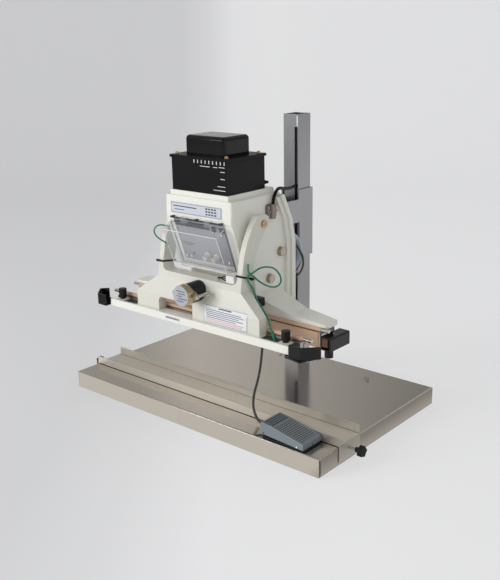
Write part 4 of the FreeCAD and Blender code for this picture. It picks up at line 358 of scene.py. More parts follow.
# Dark for print, strips and the hinge, and also for painted shade in the table's corner seam and along the
# rest's fold.
DARK_STRIP_AND_SHADE = Finish("dark_strip_and_shade", "3C3C42", "343439", Grain.POWDER, 600.0, 0.00002, 0.35, 0.05, rounding=0)
PEDAL = Finish("pedal_enamel", "7F898E", "757F84", Grain.CAST, 500.0, 0.00008, 0.36, 0.06, coat=0.15,
               slot="pedal_grey")
PEDAL_TREAD = Finish("pedal_tread", "A0A8AB", "949C9F", Grain.CAST, 500.0, 0.00004, 0.4, 0.05, rounding=0)
# A darker copy of the pedal's grey: painted shade in the tread's recess and in the heel's grooves.
PEDAL_SHADE = Finish("pedal_recess", "42484B", "3A4043", Grain.CAST, 500.0, 0.00004, 0.5, 0.05, rounding=0)
# A lighter copy of the pedal's grey: a painted highlight along its upper edge.
PEDAL_EDGE_HIGHLIGHT = Finish("pedal_edge", "AEBAC0", "A3AFB6", Grain.SMOOTH, 60.0, 0.00001, 0.3, 0.04, rounding=0)
PLATE_BLUE = Finish("pale_blue_plate", "D6DAE2", "CCD2DC", Grain.SMOOTH, 60.0, 0.00001, 0.3, 0.04, rounding=0)
# White for the plates and the print, and also for painted highlights on the vents and on the post's corner.
WHITE_PLATE_AND_HIGHLIGHT = Finish("white_plate_and_highlight", "EDEEF0", "E6E8EB", Grain.SMOOTH, 60.0, 0.00001, 0.35, 0.04, rounding=0)
PLATE_LINE = Finish("plate_line", "5A6880", "4F5C73", Grain.SMOOTH, 60.0, 0.00001, 0.4, 0.04, rounding=0)
PLATE_PINK = Finish("pink_band", "E2B9BC", "DCAFB3", Grain.SMOOTH, 60.0, 0.00001, 0.4, 0.04, rounding=0)
LABEL = Finish("silver_label", "B6BAC2", "ABAFB8", Grain.SMOOTH, 60.0, 0.00001, 0.35, 0.04, rounding=0)
CORD_BLACK = Finish("black_cord", "161514", "111010", Grain.MOULDED, 1500.0, 0.00003, 0.55, 0.05,
                    specular=0.15, rounding=0, slot="cord_black")
CORD_GREY = Finish("grey_cord", "4A4745", "413E3C", Grain.MOULDED, 1500.0, 0.00003, 0.5, 0.05, rounding=0,
                   slot="cord_grey")
WIRE_GREEN = Finish("green_wire", "23906E", "1C7C5E", Grain.MOULDED, 1500.0, 0.00002, 0.4, 0.05, rounding=0)
WIRE_BLUE = Finish("blue_wire", "CBDCE6", "B5C9D5", Grain.MOULDED, 1500.0, 0.00002, 0.4, 0.05, rounding=0,
                   slot="loom_blue")
WIRE_RED = Finish("red_wire", "8E2B22", "7A231C", Grain.MOULDED, 1500.0, 0.00002, 0.4, 0.05, rounding=0)
WIRE_ORANGE = Finish("orange_wire", "B5652E", "9C5526", Grain.MOULDED, 1500.0, 0.00002, 0.4, 0.05, rounding=0)

NODES_BY_FINISH: tuple[tuple[Finish, str], ...] = (
    (STAINLESS, "table_tray"),
    (REST_STEEL, "product_rest"),
    (GREY_STEEL, "post head_bracket transformer_core"),
    (BRIGHT_STEEL, "post_foot_plate post_foot_bolts front_clamp_rod rear_clamp_rod motor_plate motor_screws"),
    (BRIGHT_STEEL, "solenoid_frame solenoid_plunger pedal_spring"),
    (AGED_ZINC, "casting_bolts"),
    (CLAMP, "cable_gland"),
    (ALUMINIUM, "front_jaw_bar rear_jaw_bar"),
    (BRASS, "pivot_screws transformer_screws"),
    (GOLD_ZINC, "motor_can"),
    (COPPER, "solenoid_coil transformer_coil"),
    (HEATER, "front_heating_strip rear_heating_strip"),
    (SLIP_SHEET, "front_ptfe_cover rear_ptfe_cover"),
    (CREAM, "body_casting front_beam"),
    (CREAM_SHADED, "jaw_yoke"),
    (BLACK_BOX, "transformer_box"),
    (BLACK_GLOSS, "front_end_caps rear_end_cover transformer_cap"),
    (BLACK_PLASTIC, "rest_glides rest_knob_left rest_knob_right height_knob thumb_nut_left thumb_nut_right"),
    (BLACK_PLASTIC, "cover_knob motor_gearbox limit_switch panel_controls pedal_base pedal_switch"),
    (IVORY, "motor_cam dial_left dial_right button_left button_right"),
    (TERMINAL, "terminal_block"),
    (BOARD, "timer_board"),
    (PANEL, "control_panel"),
    (CLEAR, "hood"),
    (DARK_STRIP_AND_SHADE, "hood_hinge"),
    (PEDAL, "pedal_lid"),
    (CORD_BLACK, "mains_cord"),
    (CORD_GREY, "pedal_cord"),
    (WIRE_BLUE, "wire_loom"),
)
NODE_FINISHES: dict[str, Finish] = {
    name: finish for finish, names in NODES_BY_FINISH for name in names.split()}


def report(piece: bpy.types.Object, body: str) -> bpy.types.Object:
    """Logs a finished piece with its body and its faces.

    Args:
        piece: The piece.
        body: The body, or the two bodies, that it rides on.

    Returns:
        The same piece.
    """
    faces = len(piece.data.polygons) if isinstance(piece.data, bpy.types.Mesh) else 0
    LOG.info("%s rides on %s with %d faces", piece.name, body, faces)
    return piece


def fit(piece: bpy.types.Object, body: str) -> bpy.types.Object:
    """Lets a piece ride on a body and logs it.

    Args:
        piece: The piece, in place.
        body: The body's name in the record.

    Returns:
        The same piece.
    """
    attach(piece, body)
    return report(piece, body)


def add_object(name: str, mesh: bpy.types.Mesh, finishes: list[Finish]) -> bpy.types.Object:
    """Puts a mesh in the scene.

    Args:
        name: The piece's name.
        mesh: Its mesh, in the row frame.
        finishes: Its finishes, in the order of its material indices.

    Returns:
        The new object, at the origin.
    """
    piece = bpy.data.objects.new(name, mesh)
    bpy.context.scene.collection.objects.link(piece)
    for finish in finishes:
        mesh.materials.append(finish.material())
    return piece


def ring_of(centre: Vector, side: Vector, other: Vector, radius: float, sides: int) -> list[Vector]:
    """The points of a circle.

    Args:
        centre: Its centre, in metres.
        side: The direction of its first point.
        other: The direction a quarter turn on.
        radius: Its radius in millimetres.
        sides: How many points it has.

    Returns:
        The points in order.
    """
    turns = [2 * math.pi * index / sides for index in range(sides)]
    return [centre + (side * math.cos(turn) + other * math.sin(turn)) * radius * MM for turn in turns]


def tube_rings(points: list[Vector], radius: float, sides: int) -> list[list[Vector]]:
    """The rings of a tube whose section doesn't twist.

    Args:
        points: The centre line.
        radius: The tube's radius in millimetres.
        sides: How many points a ring has.

    Returns:
        The rings.
    """
    rings = []
    side = (points[1] - points[0]).normalized().orthogonal().normalized()
    for index, point in enumerate(points):
        before = points[max(0, index - 1)]
        after = points[min(len(points) - 1, index + 1)]
        along = (after - before).normalized()
        side = (side - along * side.dot(along)).normalized()
        rings.append(ring_of(point, side, along.cross(side), radius, sides))
    return rings


def rounded_outline(corner: Vector, across: Vector, up: Vector, width: float, height: float,
                    radius: float) -> list[Vector]:
    """The outline of a plate with rounded corners.

    Args:
        corner: Its lower left corner, in metres.
        across: The direction of its width.
        up: The direction of its height.
        width: Its width in millimetres.
        height: Its height in millimetres.
        radius: Its corner radius in millimetres.

    Returns:
        The outline's points.
    """
    points = []
    for cx, cy, start in ((width - radius, radius, -90), (width - radius, height - radius, 0),
                          (radius, height - radius, 90), (radius, radius, 180)):
        for step in range(5):
            angle = math.radians(start + step * 22.5)
            points.append(corner + across * (cx + radius * math.cos(angle)) * MM
                          + up * (cy + radius * math.sin(angle)) * MM)
    return points


class Shape:
    """A mesh under construction, in the row frame."""

    def __init__(self) -> None:
        """Starts with no faces."""
        self.mesh = bmesh.new()

    def loft(self, rings: list[list[Vector]], material: int = 0) -> "Shape":
        """Skins a row of rings with an equal number of points, and closes both ends.

        Args:
            rings: Each ring's points in order.
            material: The material index of the new faces.

        Returns:
            This shape.
        """
        rows = [[self.mesh.verts.new(point) for point in ring] for ring in rings]
        faces = []
        for low, high in zip(rows, rows[1:]):
            for index in range(len(low)):
                after = (index + 1) % len(low)
                faces.append(self.mesh.faces.new((low[index], low[after], high[after], high[index])))
        faces.append(self.mesh.faces.new(list(reversed(rows[0]))))
        faces.append(self.mesh.faces.new(rows[-1]))
        for face in faces:
            face.material_index = material
        return self

    def slab(self, outline: list[Vector], push: Vector, material: int = 0) -> "Shape":
        """A flat plate from its outline.

        Args:
            outline: The outline's points in order.
            push: Its thickness and the side that it lies on, in metres.
            material: The material index.

        Returns:
            This shape.
        """
        return self.loft([outline, [point + push for point in outline]], material)

    def lathe(self, start: Vector, axis: Vector, profile: tuple[tuple[float, float], ...],
              sides: int = 32) -> "Shape":
        """A turned piece.

        Args:
            start: A point on its axis, in metres.
            axis: The axis direction.
            profile: Distance along the axis and radius of each ring, in millimetres.
            sides: How many sides a ring has.

        Returns:
            This shape.
        """
        along = axis.normalized()
        side = along.orthogonal().normalized()
        other = along.cross(side)
        return self.loft([ring_of(start + along * distance * MM, side, other, radius, sides)
                          for distance, radius in profile])

    def finish(self, name: str, finishes: list[Finish], bevel: float = 0.0,
               smooth: bool = True) -> bpy.types.Object:
        """Makes the object, with its faces pointing outwards.

        Args:
            name: The piece's name.
            finishes: Its finishes.
            bevel: The width of its rounded edges, in millimetres.
            smooth: Whether its faces are shaded smooth by angle.

        Returns:
            The new object.
        """
        bmesh.ops.remove_doubles(self.mesh, verts=self.mesh.verts, dist=1e-7)
        bmesh.ops.recalc_face_normals(self.mesh, faces=self.mesh.faces)
        if bevel > 0:
            sharp = [edge for edge in self.mesh.edges if edge.is_manifold and edge.calc_face_angle(0) > 0.6]
            bmesh.ops.bevel(self.mesh, geom=sharp, offset=bevel * MM, segments=2, affect="EDGES", profile=0.6)
        mesh = bpy.data.meshes.new(name)
        self.mesh.to_mesh(mesh)
        self.mesh.free()
        if smooth:
            mesh.shade_smooth()
            mesh.set_sharp_from_angle(angle=SMOOTH_BELOW)
        return add_object(name, mesh, finishes)


class NodeTree:
    """A Geometry Nodes tree with named inputs, run once on a piece."""

    def __init__(self, name: str) -> None:
        """Starts a tree with an output socket for geometry.

        Args:
            name: The tree's name.
        """
        self.tree = bpy.data.node_groups.new(name, "GeometryNodeTree")
        self.tree.interface.new_socket("Geometry", in_out="OUTPUT", socket_type="NodeSocketGeometry")
        self.entry = self.tree.nodes.new("NodeGroupInput")
        self.exit = self.tree.nodes.new("NodeGroupOutput")
        self.inputs: dict[str, str] = {}

    def ask(self, name: str, kind: str) -> bpy.types.NodeSocket:
        """Adds a named input.

        Args:
            name: The input's name.
            kind: The socket's type.

        Returns:
            The socket inside the tree.
        """
        item = self.tree.interface.new_socket(name, in_out="INPUT", socket_type=kind)
        self.inputs[name] = item.identifier
        return next(s for s in self.entry.outputs if s.identifier == item.identifier)

    def add(self, kind: str, values: dict[str | int, object] | None = None,
            **settings: object) -> bpy.types.Node:
        """Adds a node.

        Args:
            kind: The node's type.
            values: The values of its inputs, by name or number.
            settings: Its own settings.

        Returns:
            The new node.
        """
        return add_node(self.tree, kind, values, **settings)

    def join(self, start: bpy.types.NodeSocket, end: bpy.types.NodeSocket) -> None:
        """Links two sockets.

        Args:
            start: The output that gives the value.
            end: The input that takes it.
        """
        self.tree.links.new(start, end)

    def close(self, instances: bpy.types.NodeSocket, finish: Finish) -> None:
        """Ends the tree in real geometry with a material.

        Args:
            instances: The socket with the repeated pieces.
            finish: Their finish.
        """
        real = self.add("GeometryNodeRealizeInstances")
        coat = self.add("GeometryNodeSetMaterial", {"Material": finish.material()})
        self.join(instances, real.inputs["Geometry"])
        self.join(real.outputs["Geometry"], coat.inputs["Geometry"])
        self.join(coat.outputs["Geometry"], self.exit.inputs[0])

    def run(self, name: str, values: dict[str, object], finish: Finish) -> bpy.types.Object:
        """Runs the tree and keeps its result as a plain mesh.

        Args:
            name: The piece's name.
            values: The value of each named input.
            finish: The piece's finish.

        Returns:
            The finished object.
        """
        carrier = add_object(name, bpy.data.meshes.new(name), [finish])
        modifier = carrier.modifiers.new("repeat", "NODES")
        modifier.node_group = self.tree
        for key, value in values.items():
            modifier[self.inputs[key]] = value
        graph = bpy.context.evaluated_depsgraph_get()
        result = bpy.data.meshes.new_from_object(carrier.evaluated_get(graph))
        carrier.modifiers.remove(modifier)
        carrier.data = result
        result.materials.clear()
        result.materials.append(finish.material())
        for face in result.polygons:
            face.material_index = 0
        result.shade_smooth()
        result.set_sharp_from_angle(angle=SMOOTH_BELOW)
        return carrier


@dataclass
class BarRows:
    """Straight bars repeated in rows: slats, ribs, pads and scale marks."""

    size: tuple[float, float, float]
    start: Vector
    step: Vector
    count: int
    second_step: Vector = field(default_factory=lambda: Vector((0.0, 0.0, 0.0)))
    rows: int = 1
    turn: tuple[float, float, float] = (0.0, 0.0, 0.0)

    def build(self, name: str, finish: Finish) -> bpy.types.Object:
        """Repeats a small block along one or two directions.

        Args:
            name: The piece's name.
            finish: Its finish.

        Returns:
            The piece.
        """
        tree = NodeTree(name + "_rows")
        size = tree.ask("Size", "NodeSocketVector")
        start = tree.ask("Start", "NodeSocketVector")
        step = tree.ask("Step", "NodeSocketVector")
        count = tree.ask("Count", "NodeSocketInt")
        second = tree.ask("Row Step", "NodeSocketVector")
        rows = tree.ask("Rows", "NodeSocketInt")
        turn = tree.ask("Turn", "NodeSocketRotation")
        block = tree.add("GeometryNodeMeshCube")
        tree.join(size, block.inputs["Size"])
        line = tree.add("GeometryNodeMeshLine")
        tree.join(count, line.inputs["Count"])
        tree.join(step, line.inputs["Offset"])
        tree.join(start, line.inputs["Start Location"])
        cross = tree.add("GeometryNodeMeshLine")
        tree.join(rows, cross.inputs["Count"])
        tree.join(second, cross.inputs["Offset"])
        grid = tree.add("GeometryNodeInstanceOnPoints")
        tree.join(cross.outputs["Mesh"], grid.inputs["Points"])
        tree.join(line.outputs["Mesh"], grid.inputs["Instance"])
        flat = tree.add("GeometryNodeRealizeInstances")
        tree.join(grid.outputs["Instances"], flat.inputs["Geometry"])
        repeat = tree.add("GeometryNodeInstanceOnPoints")
        tree.join(flat.outputs["Geometry"], repeat.inputs["Points"])
        tree.join(block.outputs["Mesh"], repeat.inputs["Instance"])
        tree.join(turn, repeat.inputs["Rotation"])
        tree.close(repeat.outputs["Instances"], finish)
        return tree.run(name, {"Size": self.size, "Start": self.start, "Step": self.step, "Count": self.count,
                               "Row Step": self.second_step, "Rows": self.rows, "Turn": self.turn}, finish)


@dataclass
class RoundHeads:
    """Turned heads repeated at points: screws, rivets and studs."""

    points: list[Vector]
    radius: float
    height: float
    turn: tuple[float, float, float] = (0.0, 0.0, 0.0)
    sides: int = 20
    crown_share: float = 0.72

    def build(self, name: str, finish: Finish) -> bpy.types.Object:
        """Puts a head with a narrower crown at each point.

        Args:
            name: The piece's name.
            finish: Its finish.

        Returns:
            The piece.
        """
        mesh = bpy.data.meshes.new(name + "_points")
        mesh.from_pydata([tuple(point) for point in self.points], [], [])
        tree = NodeTree(name + "_heads")
        places = tree.ask("Places", "NodeSocketObject")
        radius = tree.ask("Radius", "NodeSocketFloat")
        height = tree.ask("Height", "NodeSocketFloat")
        turn = tree.ask("Turn", "NodeSocketRotation")
        source = tree.add("GeometryNodeObjectInfo", transform_space="RELATIVE")
        tree.join(places, source.inputs["Object"])
        disc = tree.add("GeometryNodeMeshCylinder", {"Vertices": self.sides})
        tree.join(radius, disc.inputs["Radius"])
        tree.join(height, disc.inputs["Depth"])
        crest = tree.add("ShaderNodeMath", {1: self.crown_share}, operation="MULTIPLY")
        tree.join(radius, crest.inputs[0])
        crown = tree.add("GeometryNodeMeshCone", {"Vertices": self.sides})
        tree.join(crest.outputs[0], crown.inputs["Radius Top"])
        tree.join(radius, crown.inputs["Radius Bottom"])
        tree.join(height, crown.inputs["Depth"])
        shift = tree.add("ShaderNodeCombineXYZ")
        rise = tree.add("ShaderNodeMath", {1: 0.5}, operation="MULTIPLY")
        tree.join(height, rise.inputs[0])
        tree.join(rise.outputs[0], shift.inputs["Z"])
        move = tree.add("GeometryNodeTransform")
        tree.join(crown.outputs["Mesh"], move.inputs["Geometry"])
        tree.join(shift.outputs[0], move.inputs["Translation"])
        both = tree.add("GeometryNodeJoinGeometry")
        tree.join(disc.outputs["Mesh"], both.inputs[0])
        tree.join(move.outputs["Geometry"], both.inputs[0])
        repeat = tree.add("GeometryNodeInstanceOnPoints")
        tree.join(source.outputs["Geometry"], repeat.inputs["Points"])
        tree.join(both.outputs["Geometry"], repeat.inputs["Instance"])
        tree.join(turn, repeat.inputs["Rotation"])
        tree.close(repeat.outputs["Instances"], finish)
        helper = bpy.data.objects.new(name + "_places", mesh)
        bpy.context.scene.collection.objects.link(helper)
        bpy.context.view_layer.update()
        piece = tree.run(name, {"Places": helper, "Radius": self.radius * MM, "Height": self.height * MM,
                                "Turn": self.turn}, finish)
        bpy.data.objects.remove(helper)
        return piece


@dataclass
class CadDresser:
    """Gives every CAD node its finish, and gives the pedal's spring a mesh of its own."""

    finishes: dict[str, Finish]
    spring_foot: tuple[float, float, float] = (268, 22, 3)
    spring_pressed: float = 0.79

    def dress(self, nodes: dict[str, bpy.types.Object]) -> None:
        """Puts the finish of each node on it and gives the spring a mesh of its own.

        Args:
            nodes: The CAD nodes by name.
        """
        for name, piece in nodes.items():
            finish = self.finishes[name]
            piece.data.materials.clear()
            piece.data.materials.append(finish.material())
            LOG.info("%s is dressed as %s", name, finish.name)
        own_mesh(nodes["pedal_spring"])


@dataclass
class Line:
    """A round cord or wire along control points on the bench frame."""

    name: str
    points: tuple[tuple[float, float, float], ...]
    radius: float
    finish: Finish

    def curve(self, bevelled: bool) -> bpy.types.Object:
        """The NURBS curve through the route.

        Args:
            bevelled: Whether it has the cord's thickness.

        Returns:
            The curve object.
        """
        data = bpy.data.curves.new(self.name, "CURVE")
        data.dimensions = "3D"
        data.resolution_u = 6
        spline = data.splines.new("NURBS")
        spline.points.add(len(self.points) - 1)
        for handle, point in zip(spline.points, self.points):
            handle.co = (*spot(*point), 1.0)
        spline.order_u = 3
        spline.use_endpoint_u = True
        if bevelled:
            data.bevel_depth = self.radius * MM
            data.bevel_resolution = 3
            data.use_fill_caps = True
        data.materials.append(self.finish.material())
        piece = bpy.data.objects.new(self.name, data)
        bpy.context.scene.collection.objects.link(piece)
        return piece

    def centre(self) -> list[Vector]:
        """The points of the centre line.

        Returns:
            Points in the row frame.
        """
        helper = self.curve(False)
        bpy.context.view_layer.update()
        mesh = bpy.data.meshes.new_from_object(helper)
        points = [vertex.co.copy() for vertex in mesh.vertices]
        bpy.data.objects.remove(helper)
        return points

    def tube(self, sides: int = 10) -> tuple[bpy.types.Object, list[Vector]]:
        """A mesh tube along the route.

        Args:
            sides: How many sides it has.

        Returns:
            The piece and the points it follows.
        """
        points = self.centre()
        shape = Shape()
        shape.loft(tube_rings(points, self.radius, sides))
        return shape.finish(self.name, [self.finish]), points


def path_length(points: list[Vector]) -> float:
    """The length of a line of points.

    Args:
        points: The points in order, in metres.

    Returns:
        Its length in metres.
    """
    return sum((b - a).length for a, b in zip(points, points[1:]))


@dataclass
class Cables:
    """The cords and wires, from the routes of the drawing."""

    mains: tuple[tuple[float, float, float], ...] = (
        (113, 207, 452), (113, 207, 489), (113, 221, 510), (101, 246, 512), (64, 314, 497), (37, 374, 487),
        (16.5, 412, 485), (16.5, 440, 480), (10, 452, 458), (4, 454, 420), (4, 454, 380))
    pedal: tuple[tuple[float, float, float], ...] = (
        (62, 246.1, 236), (62, 244, 200), (66, 222, 130), (88, 186, 78), (120, 136, 62), (146, 92, 54),
        (168, 60, 44), (188, 42, 30), (206, 36, 16), (228, 36, 12), (246, 36, 12))
    loom: tuple[tuple[float, float, float], ...] = (
        (45, 284, 380), (45, 350, 380), (42, 406, 345), (40, 406, 280), (40, 350, 246), (40, 284, 246))
    earth_right: tuple[tuple[float, float, float], ...] = (
        (139, 86, 366), (140, 84, 356), (141, 85, 346), (144, 91, 342), (147, 101, 348), (150, 118, 353),
        (151, 140, 350), (151, 166, 341), (151, 188, 318), (151, 190, 300), (150, 172, 293), (148, 144, 301),
        (145, 112, 322), (142, 94, 340), (140, 85, 341), (139, 82, 333), (139, 86, 324), (139, 93, 314),
        (141, 101, 303), (148, 99, 289), (161, 94, 277),
        (177, 89, 266), (192, 84, 257), (203, 80, 243.5), (214, 75, 226), (224, 69, 213), (234, 61, 208))
    earth_left: tuple[tuple[float, float, float], ...] = (
        (-106, 81, 421), (-117, 64, 430), (-125, 49, 421), (-125, 50, 404), (-118, 66, 388), (-106, 78, 378))
    arc: tuple[tuple[float, float, float], ...] = (
        (46, 362, 352), (50, 376, 345), (50, 392, 326), (50, 409, 304), (50, 411, 276), (50, 392, 258),
        (50, 362, 252), (50, 328, 253), (50, 296, 256))
    strands: int = 8
    orbit: float = 5.4
    strand_radius: float = 1.9
    twist: float = 1.4

    def build(self) -> None:
        """Lays every cord."""
        self.mains_cord()
        self.pedal_cord()
        self.loom_strands()
        self.rear_cable()
        self.earth_wires()

    def mains_cord(self) -> None:
        """The black cord from the gland over the rim into the post."""
        line = Line("mains_lead", self.mains, 4.0, CORD_BLACK)
        length = path_length(line.centre())
        piece = fit(line.curve(True), "head")
        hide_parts("mains_cord")

    def pedal_cord(self) -> None:
        """The grey cord from the housing to the foot switch."""
        piece, points = Line("pedal_lead", self.pedal, 3.0, CORD_GREY).tube()
        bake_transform(piece)
        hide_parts("pedal_cord")
        report(piece, "head and stand")

    def loom_strands(self) -> None:
        """The thin wires between the rim and the sleeve, twisted about each other."""
        points = Line("loom_line", self.loom, self.strand_radius, WIRE_BLUE).centre()
        shape = Shape()
        span = path_length(points)
        for strand in range(self.strands):
            walked = 0.0
            moved = []
            side = (points[1] - points[0]).normalized().orthogonal().normalized()
            for index, point in enumerate(points):
                if index:
                    walked += (point - points[index - 1]).length
                along = (points[min(len(points) - 1, index + 1)] - points[max(0, index - 1)]).normalized()
                side = (side - along * side.dot(along)).normalized()
                turn = 2 * math.pi * (strand / self.strands + self.twist * walked / span)
                away = side * math.cos(turn) + along.cross(side) * math.sin(turn)
                moved.append(point + away * self.orbit * MM)
            shape.loft(tube_rings(moved, self.strand_radius, 8), 1 if strand == 2 else 0)
        piece = fit(shape.finish("loom_strands", [WIRE_BLUE, WIRE_RED]), "head")
        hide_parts("wire_loom")

    def rear_cable(self) -> None:
        """The dark grey cable that arcs behind the casting, beside the loom."""
        line = Line("rear_cable", self.arc, 2.5, CORD_GREY)
        length = path_length(line.centre())
        piece = fit(line.curve(True), "head")

    def earth_wires(self) -> None:
        """The green wires: one from the housing to the front jaw, one loop at the left."""
        piece, points = Line("earth_wire_right", self.earth_right, 2.1, WIRE_GREEN).tube(8)
        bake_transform(piece)
        report(piece, "head and yoke")
        piece, points = Line("earth_wire_left", self.earth_left, 1.7, WIRE_GREEN).tube(8)
        fit(piece, "head")


@dataclass
class TransformerDetails:
    """Painted highlights: white marks for the light that the lips inside the vents of the sheet box catch."""

    front: float = 80.0
    top: float = 597.0
    tick: tuple[float, float, float] = (2.4, 0.6, 7.4)
    slots: tuple[tuple[float, float, float], ...] = (
        (4, 35, 20), (44, 58, 20), (62, 80, 19), (66, 80, 29), (66, 80, 45), (57, 81, 62), (44, 81, 71))

    def build(self) -> None:
        """Makes the painted highlights of the short upright vents and of the level ones at the right."""
        # Painted highlights: white marks where the lips of the upright vents catch the light.
        row = BarRows(tuple(v * MM for v in self.tick), spot(-14, self.front + 0.7, self.top - 11),
                      Vector((11.6 * MM, 0, 0)), 9).build("vent_ticks", WHITE_PLATE_AND_HIGHLIGHT)
        fit(row, "head")
        # Painted highlights on the lips of the level vents at the right.
        shape = Shape()
        for start, end, drop in self.slots:
            corner = spot(start + 0.2, self.front + 0.4, self.top - drop - 1.5)
            shape.slab(rounded_outline(corner, ACROSS, UP, end - start - 0.4, 1.4, 0.6), BACK * 0.6 * MM)
        fit(shape.finish("vent_slots", [WHITE_PLATE_AND_HIGHLIGHT]), "head")
        bushing = Shape()
        bushing.lathe(spot(70, 221, 526), Vector((1, 0, 0.12)),
                      ((0, 5.0), (10, 5.0), (10.5, 3.6), (18, 3.4)), 20)
        fit(bushing.finish("rear_bushing", [BLACK_PLASTIC]), "head")


@dataclass
class Plates:
    """The bare printed plates, each with a ruled border and level lines."""

    def build(self) -> None:
        """Makes the plate of the housing, the card on the yoke and the bare tag on the beam."""
        bars = [(8, 16.5, 76, 2.2, 3), (12, 9.0, 32, 1.8, 1)]
        bars += [(112 + 9 * (step % 4), 18.5 - 6.5 * (step // 4), 6.5, 3.4, 3) for step in range(12)]
        self.plate("housing_plate", "head", (-86, 71, 461), 162, 27, PLATE_BLUE, bars)
        self.card()
        self.plate("beam_tag", "yoke", (-89, 38.3, 204.5), 49, 7, WHITE_PLATE_AND_HIGHLIGHT,
                   [(4 + 7 * step, 2.2, 4.6, 2.8, 3) for step in range(6)])

    def card(self) -> None:
        """The card that lies on the yoke's foot and bends back with it above the shoulder."""
        push = Vector((0, -0.0006, 0))
        left, low, fold, wide = 29.0, 216.8, 253.8, 135.0
        shape = Shape()
        shape.slab([spot(left, 50.3, low), spot(left + wide, 50.3, low), spot(left + wide, 50.3, fold),
                    spot(left, 50.3, fold)], push)
        shape.slab([spot(left, 50.3, fold), spot(left + wide, 50.3, fold), spot(left + wide, 52.5, fold + 8),
                    spot(left, 52.5, fold + 8)], push)
        marks = [(1.5, 1.5, 132, 0.9, 1), (1.5, 1.5, 0.9, 35, 1), (132.6, 1.5, 0.9, 35, 1)]
        marks += [(9, 33 - 4.6 * step, (108, 116, 100, 114, 92)[step], 1.5, 1) for step in range(5)]
        marks += [(7, 9.6 - 4.4 * step, (118, 112)[step], 2.2, 2) for step in range(2)]
        for x, z, width, height, index in marks:
            start = spot(left + x, 49.8, low + z)
            shape.slab(rounded_outline(start, ACROSS, UP, width, height, 0.3), push * 0.3, index)
        lean = Vector((0, 2.2, 8)).normalized()
        for x, rise, width, height, index in ((48, 2.0, 40, 2.6, 3), (1.5, 6.4, 132, 0.9, 1)):
            start = spot(left + x, 49.8, fold) + lean * rise * MM
            shape.slab(rounded_outline(start, ACROSS, lean, width, height, 0.3), push * 0.3, index)
        fit(shape.finish("yoke_card", [WHITE_PLATE_AND_HIGHLIGHT, PLATE_LINE, PLATE_PINK, DARK_STRIP_AND_SHADE]), "yoke")

    def plate(self, name: str, body: str, corner: tuple[float, float, float], width: float, height: float,
              finish: Finish, rules: list[tuple[float, float, float, float, int]]) -> None:
        """One plate that faces the front.

        Args:
            name: The piece's name.
            body: The body it rides on.
            corner: Its lower left corner on the surface that carries it.
            width: Its width in millimetres.
            height: Its height in millimetres.
            finish: Its finish.
            rules: The plain bars on it: left, low, width, height and finish index of each.
        """
        out = -BACK
        x, y, z = corner
        shape = Shape()
        shape.slab(rounded_outline(spot(x, y + 0.2, z), ACROSS, UP, width, height, 1.5), out * 0.6 * MM)
        marks = [(1.5, 1.5, width - 3, 0.9, 1), (1.5, height - 2.4, width - 3, 0.9, 1),
                 (1.5, 1.5, 0.9, height - 3, 1), (width - 2.4, 1.5, 0.9, height - 3, 1)] + rules
        for left, low, wide, tall, index in marks:
            shape.slab(rounded_outline(spot(x + left, y - 0.3, z + low), ACROSS, UP, wide, tall, 0.3),
                       out * 0.2 * MM, index)
        fit(shape.finish(name, [finish, PLATE_LINE, PLATE_PINK, DARK_STRIP_AND_SHADE]), body)


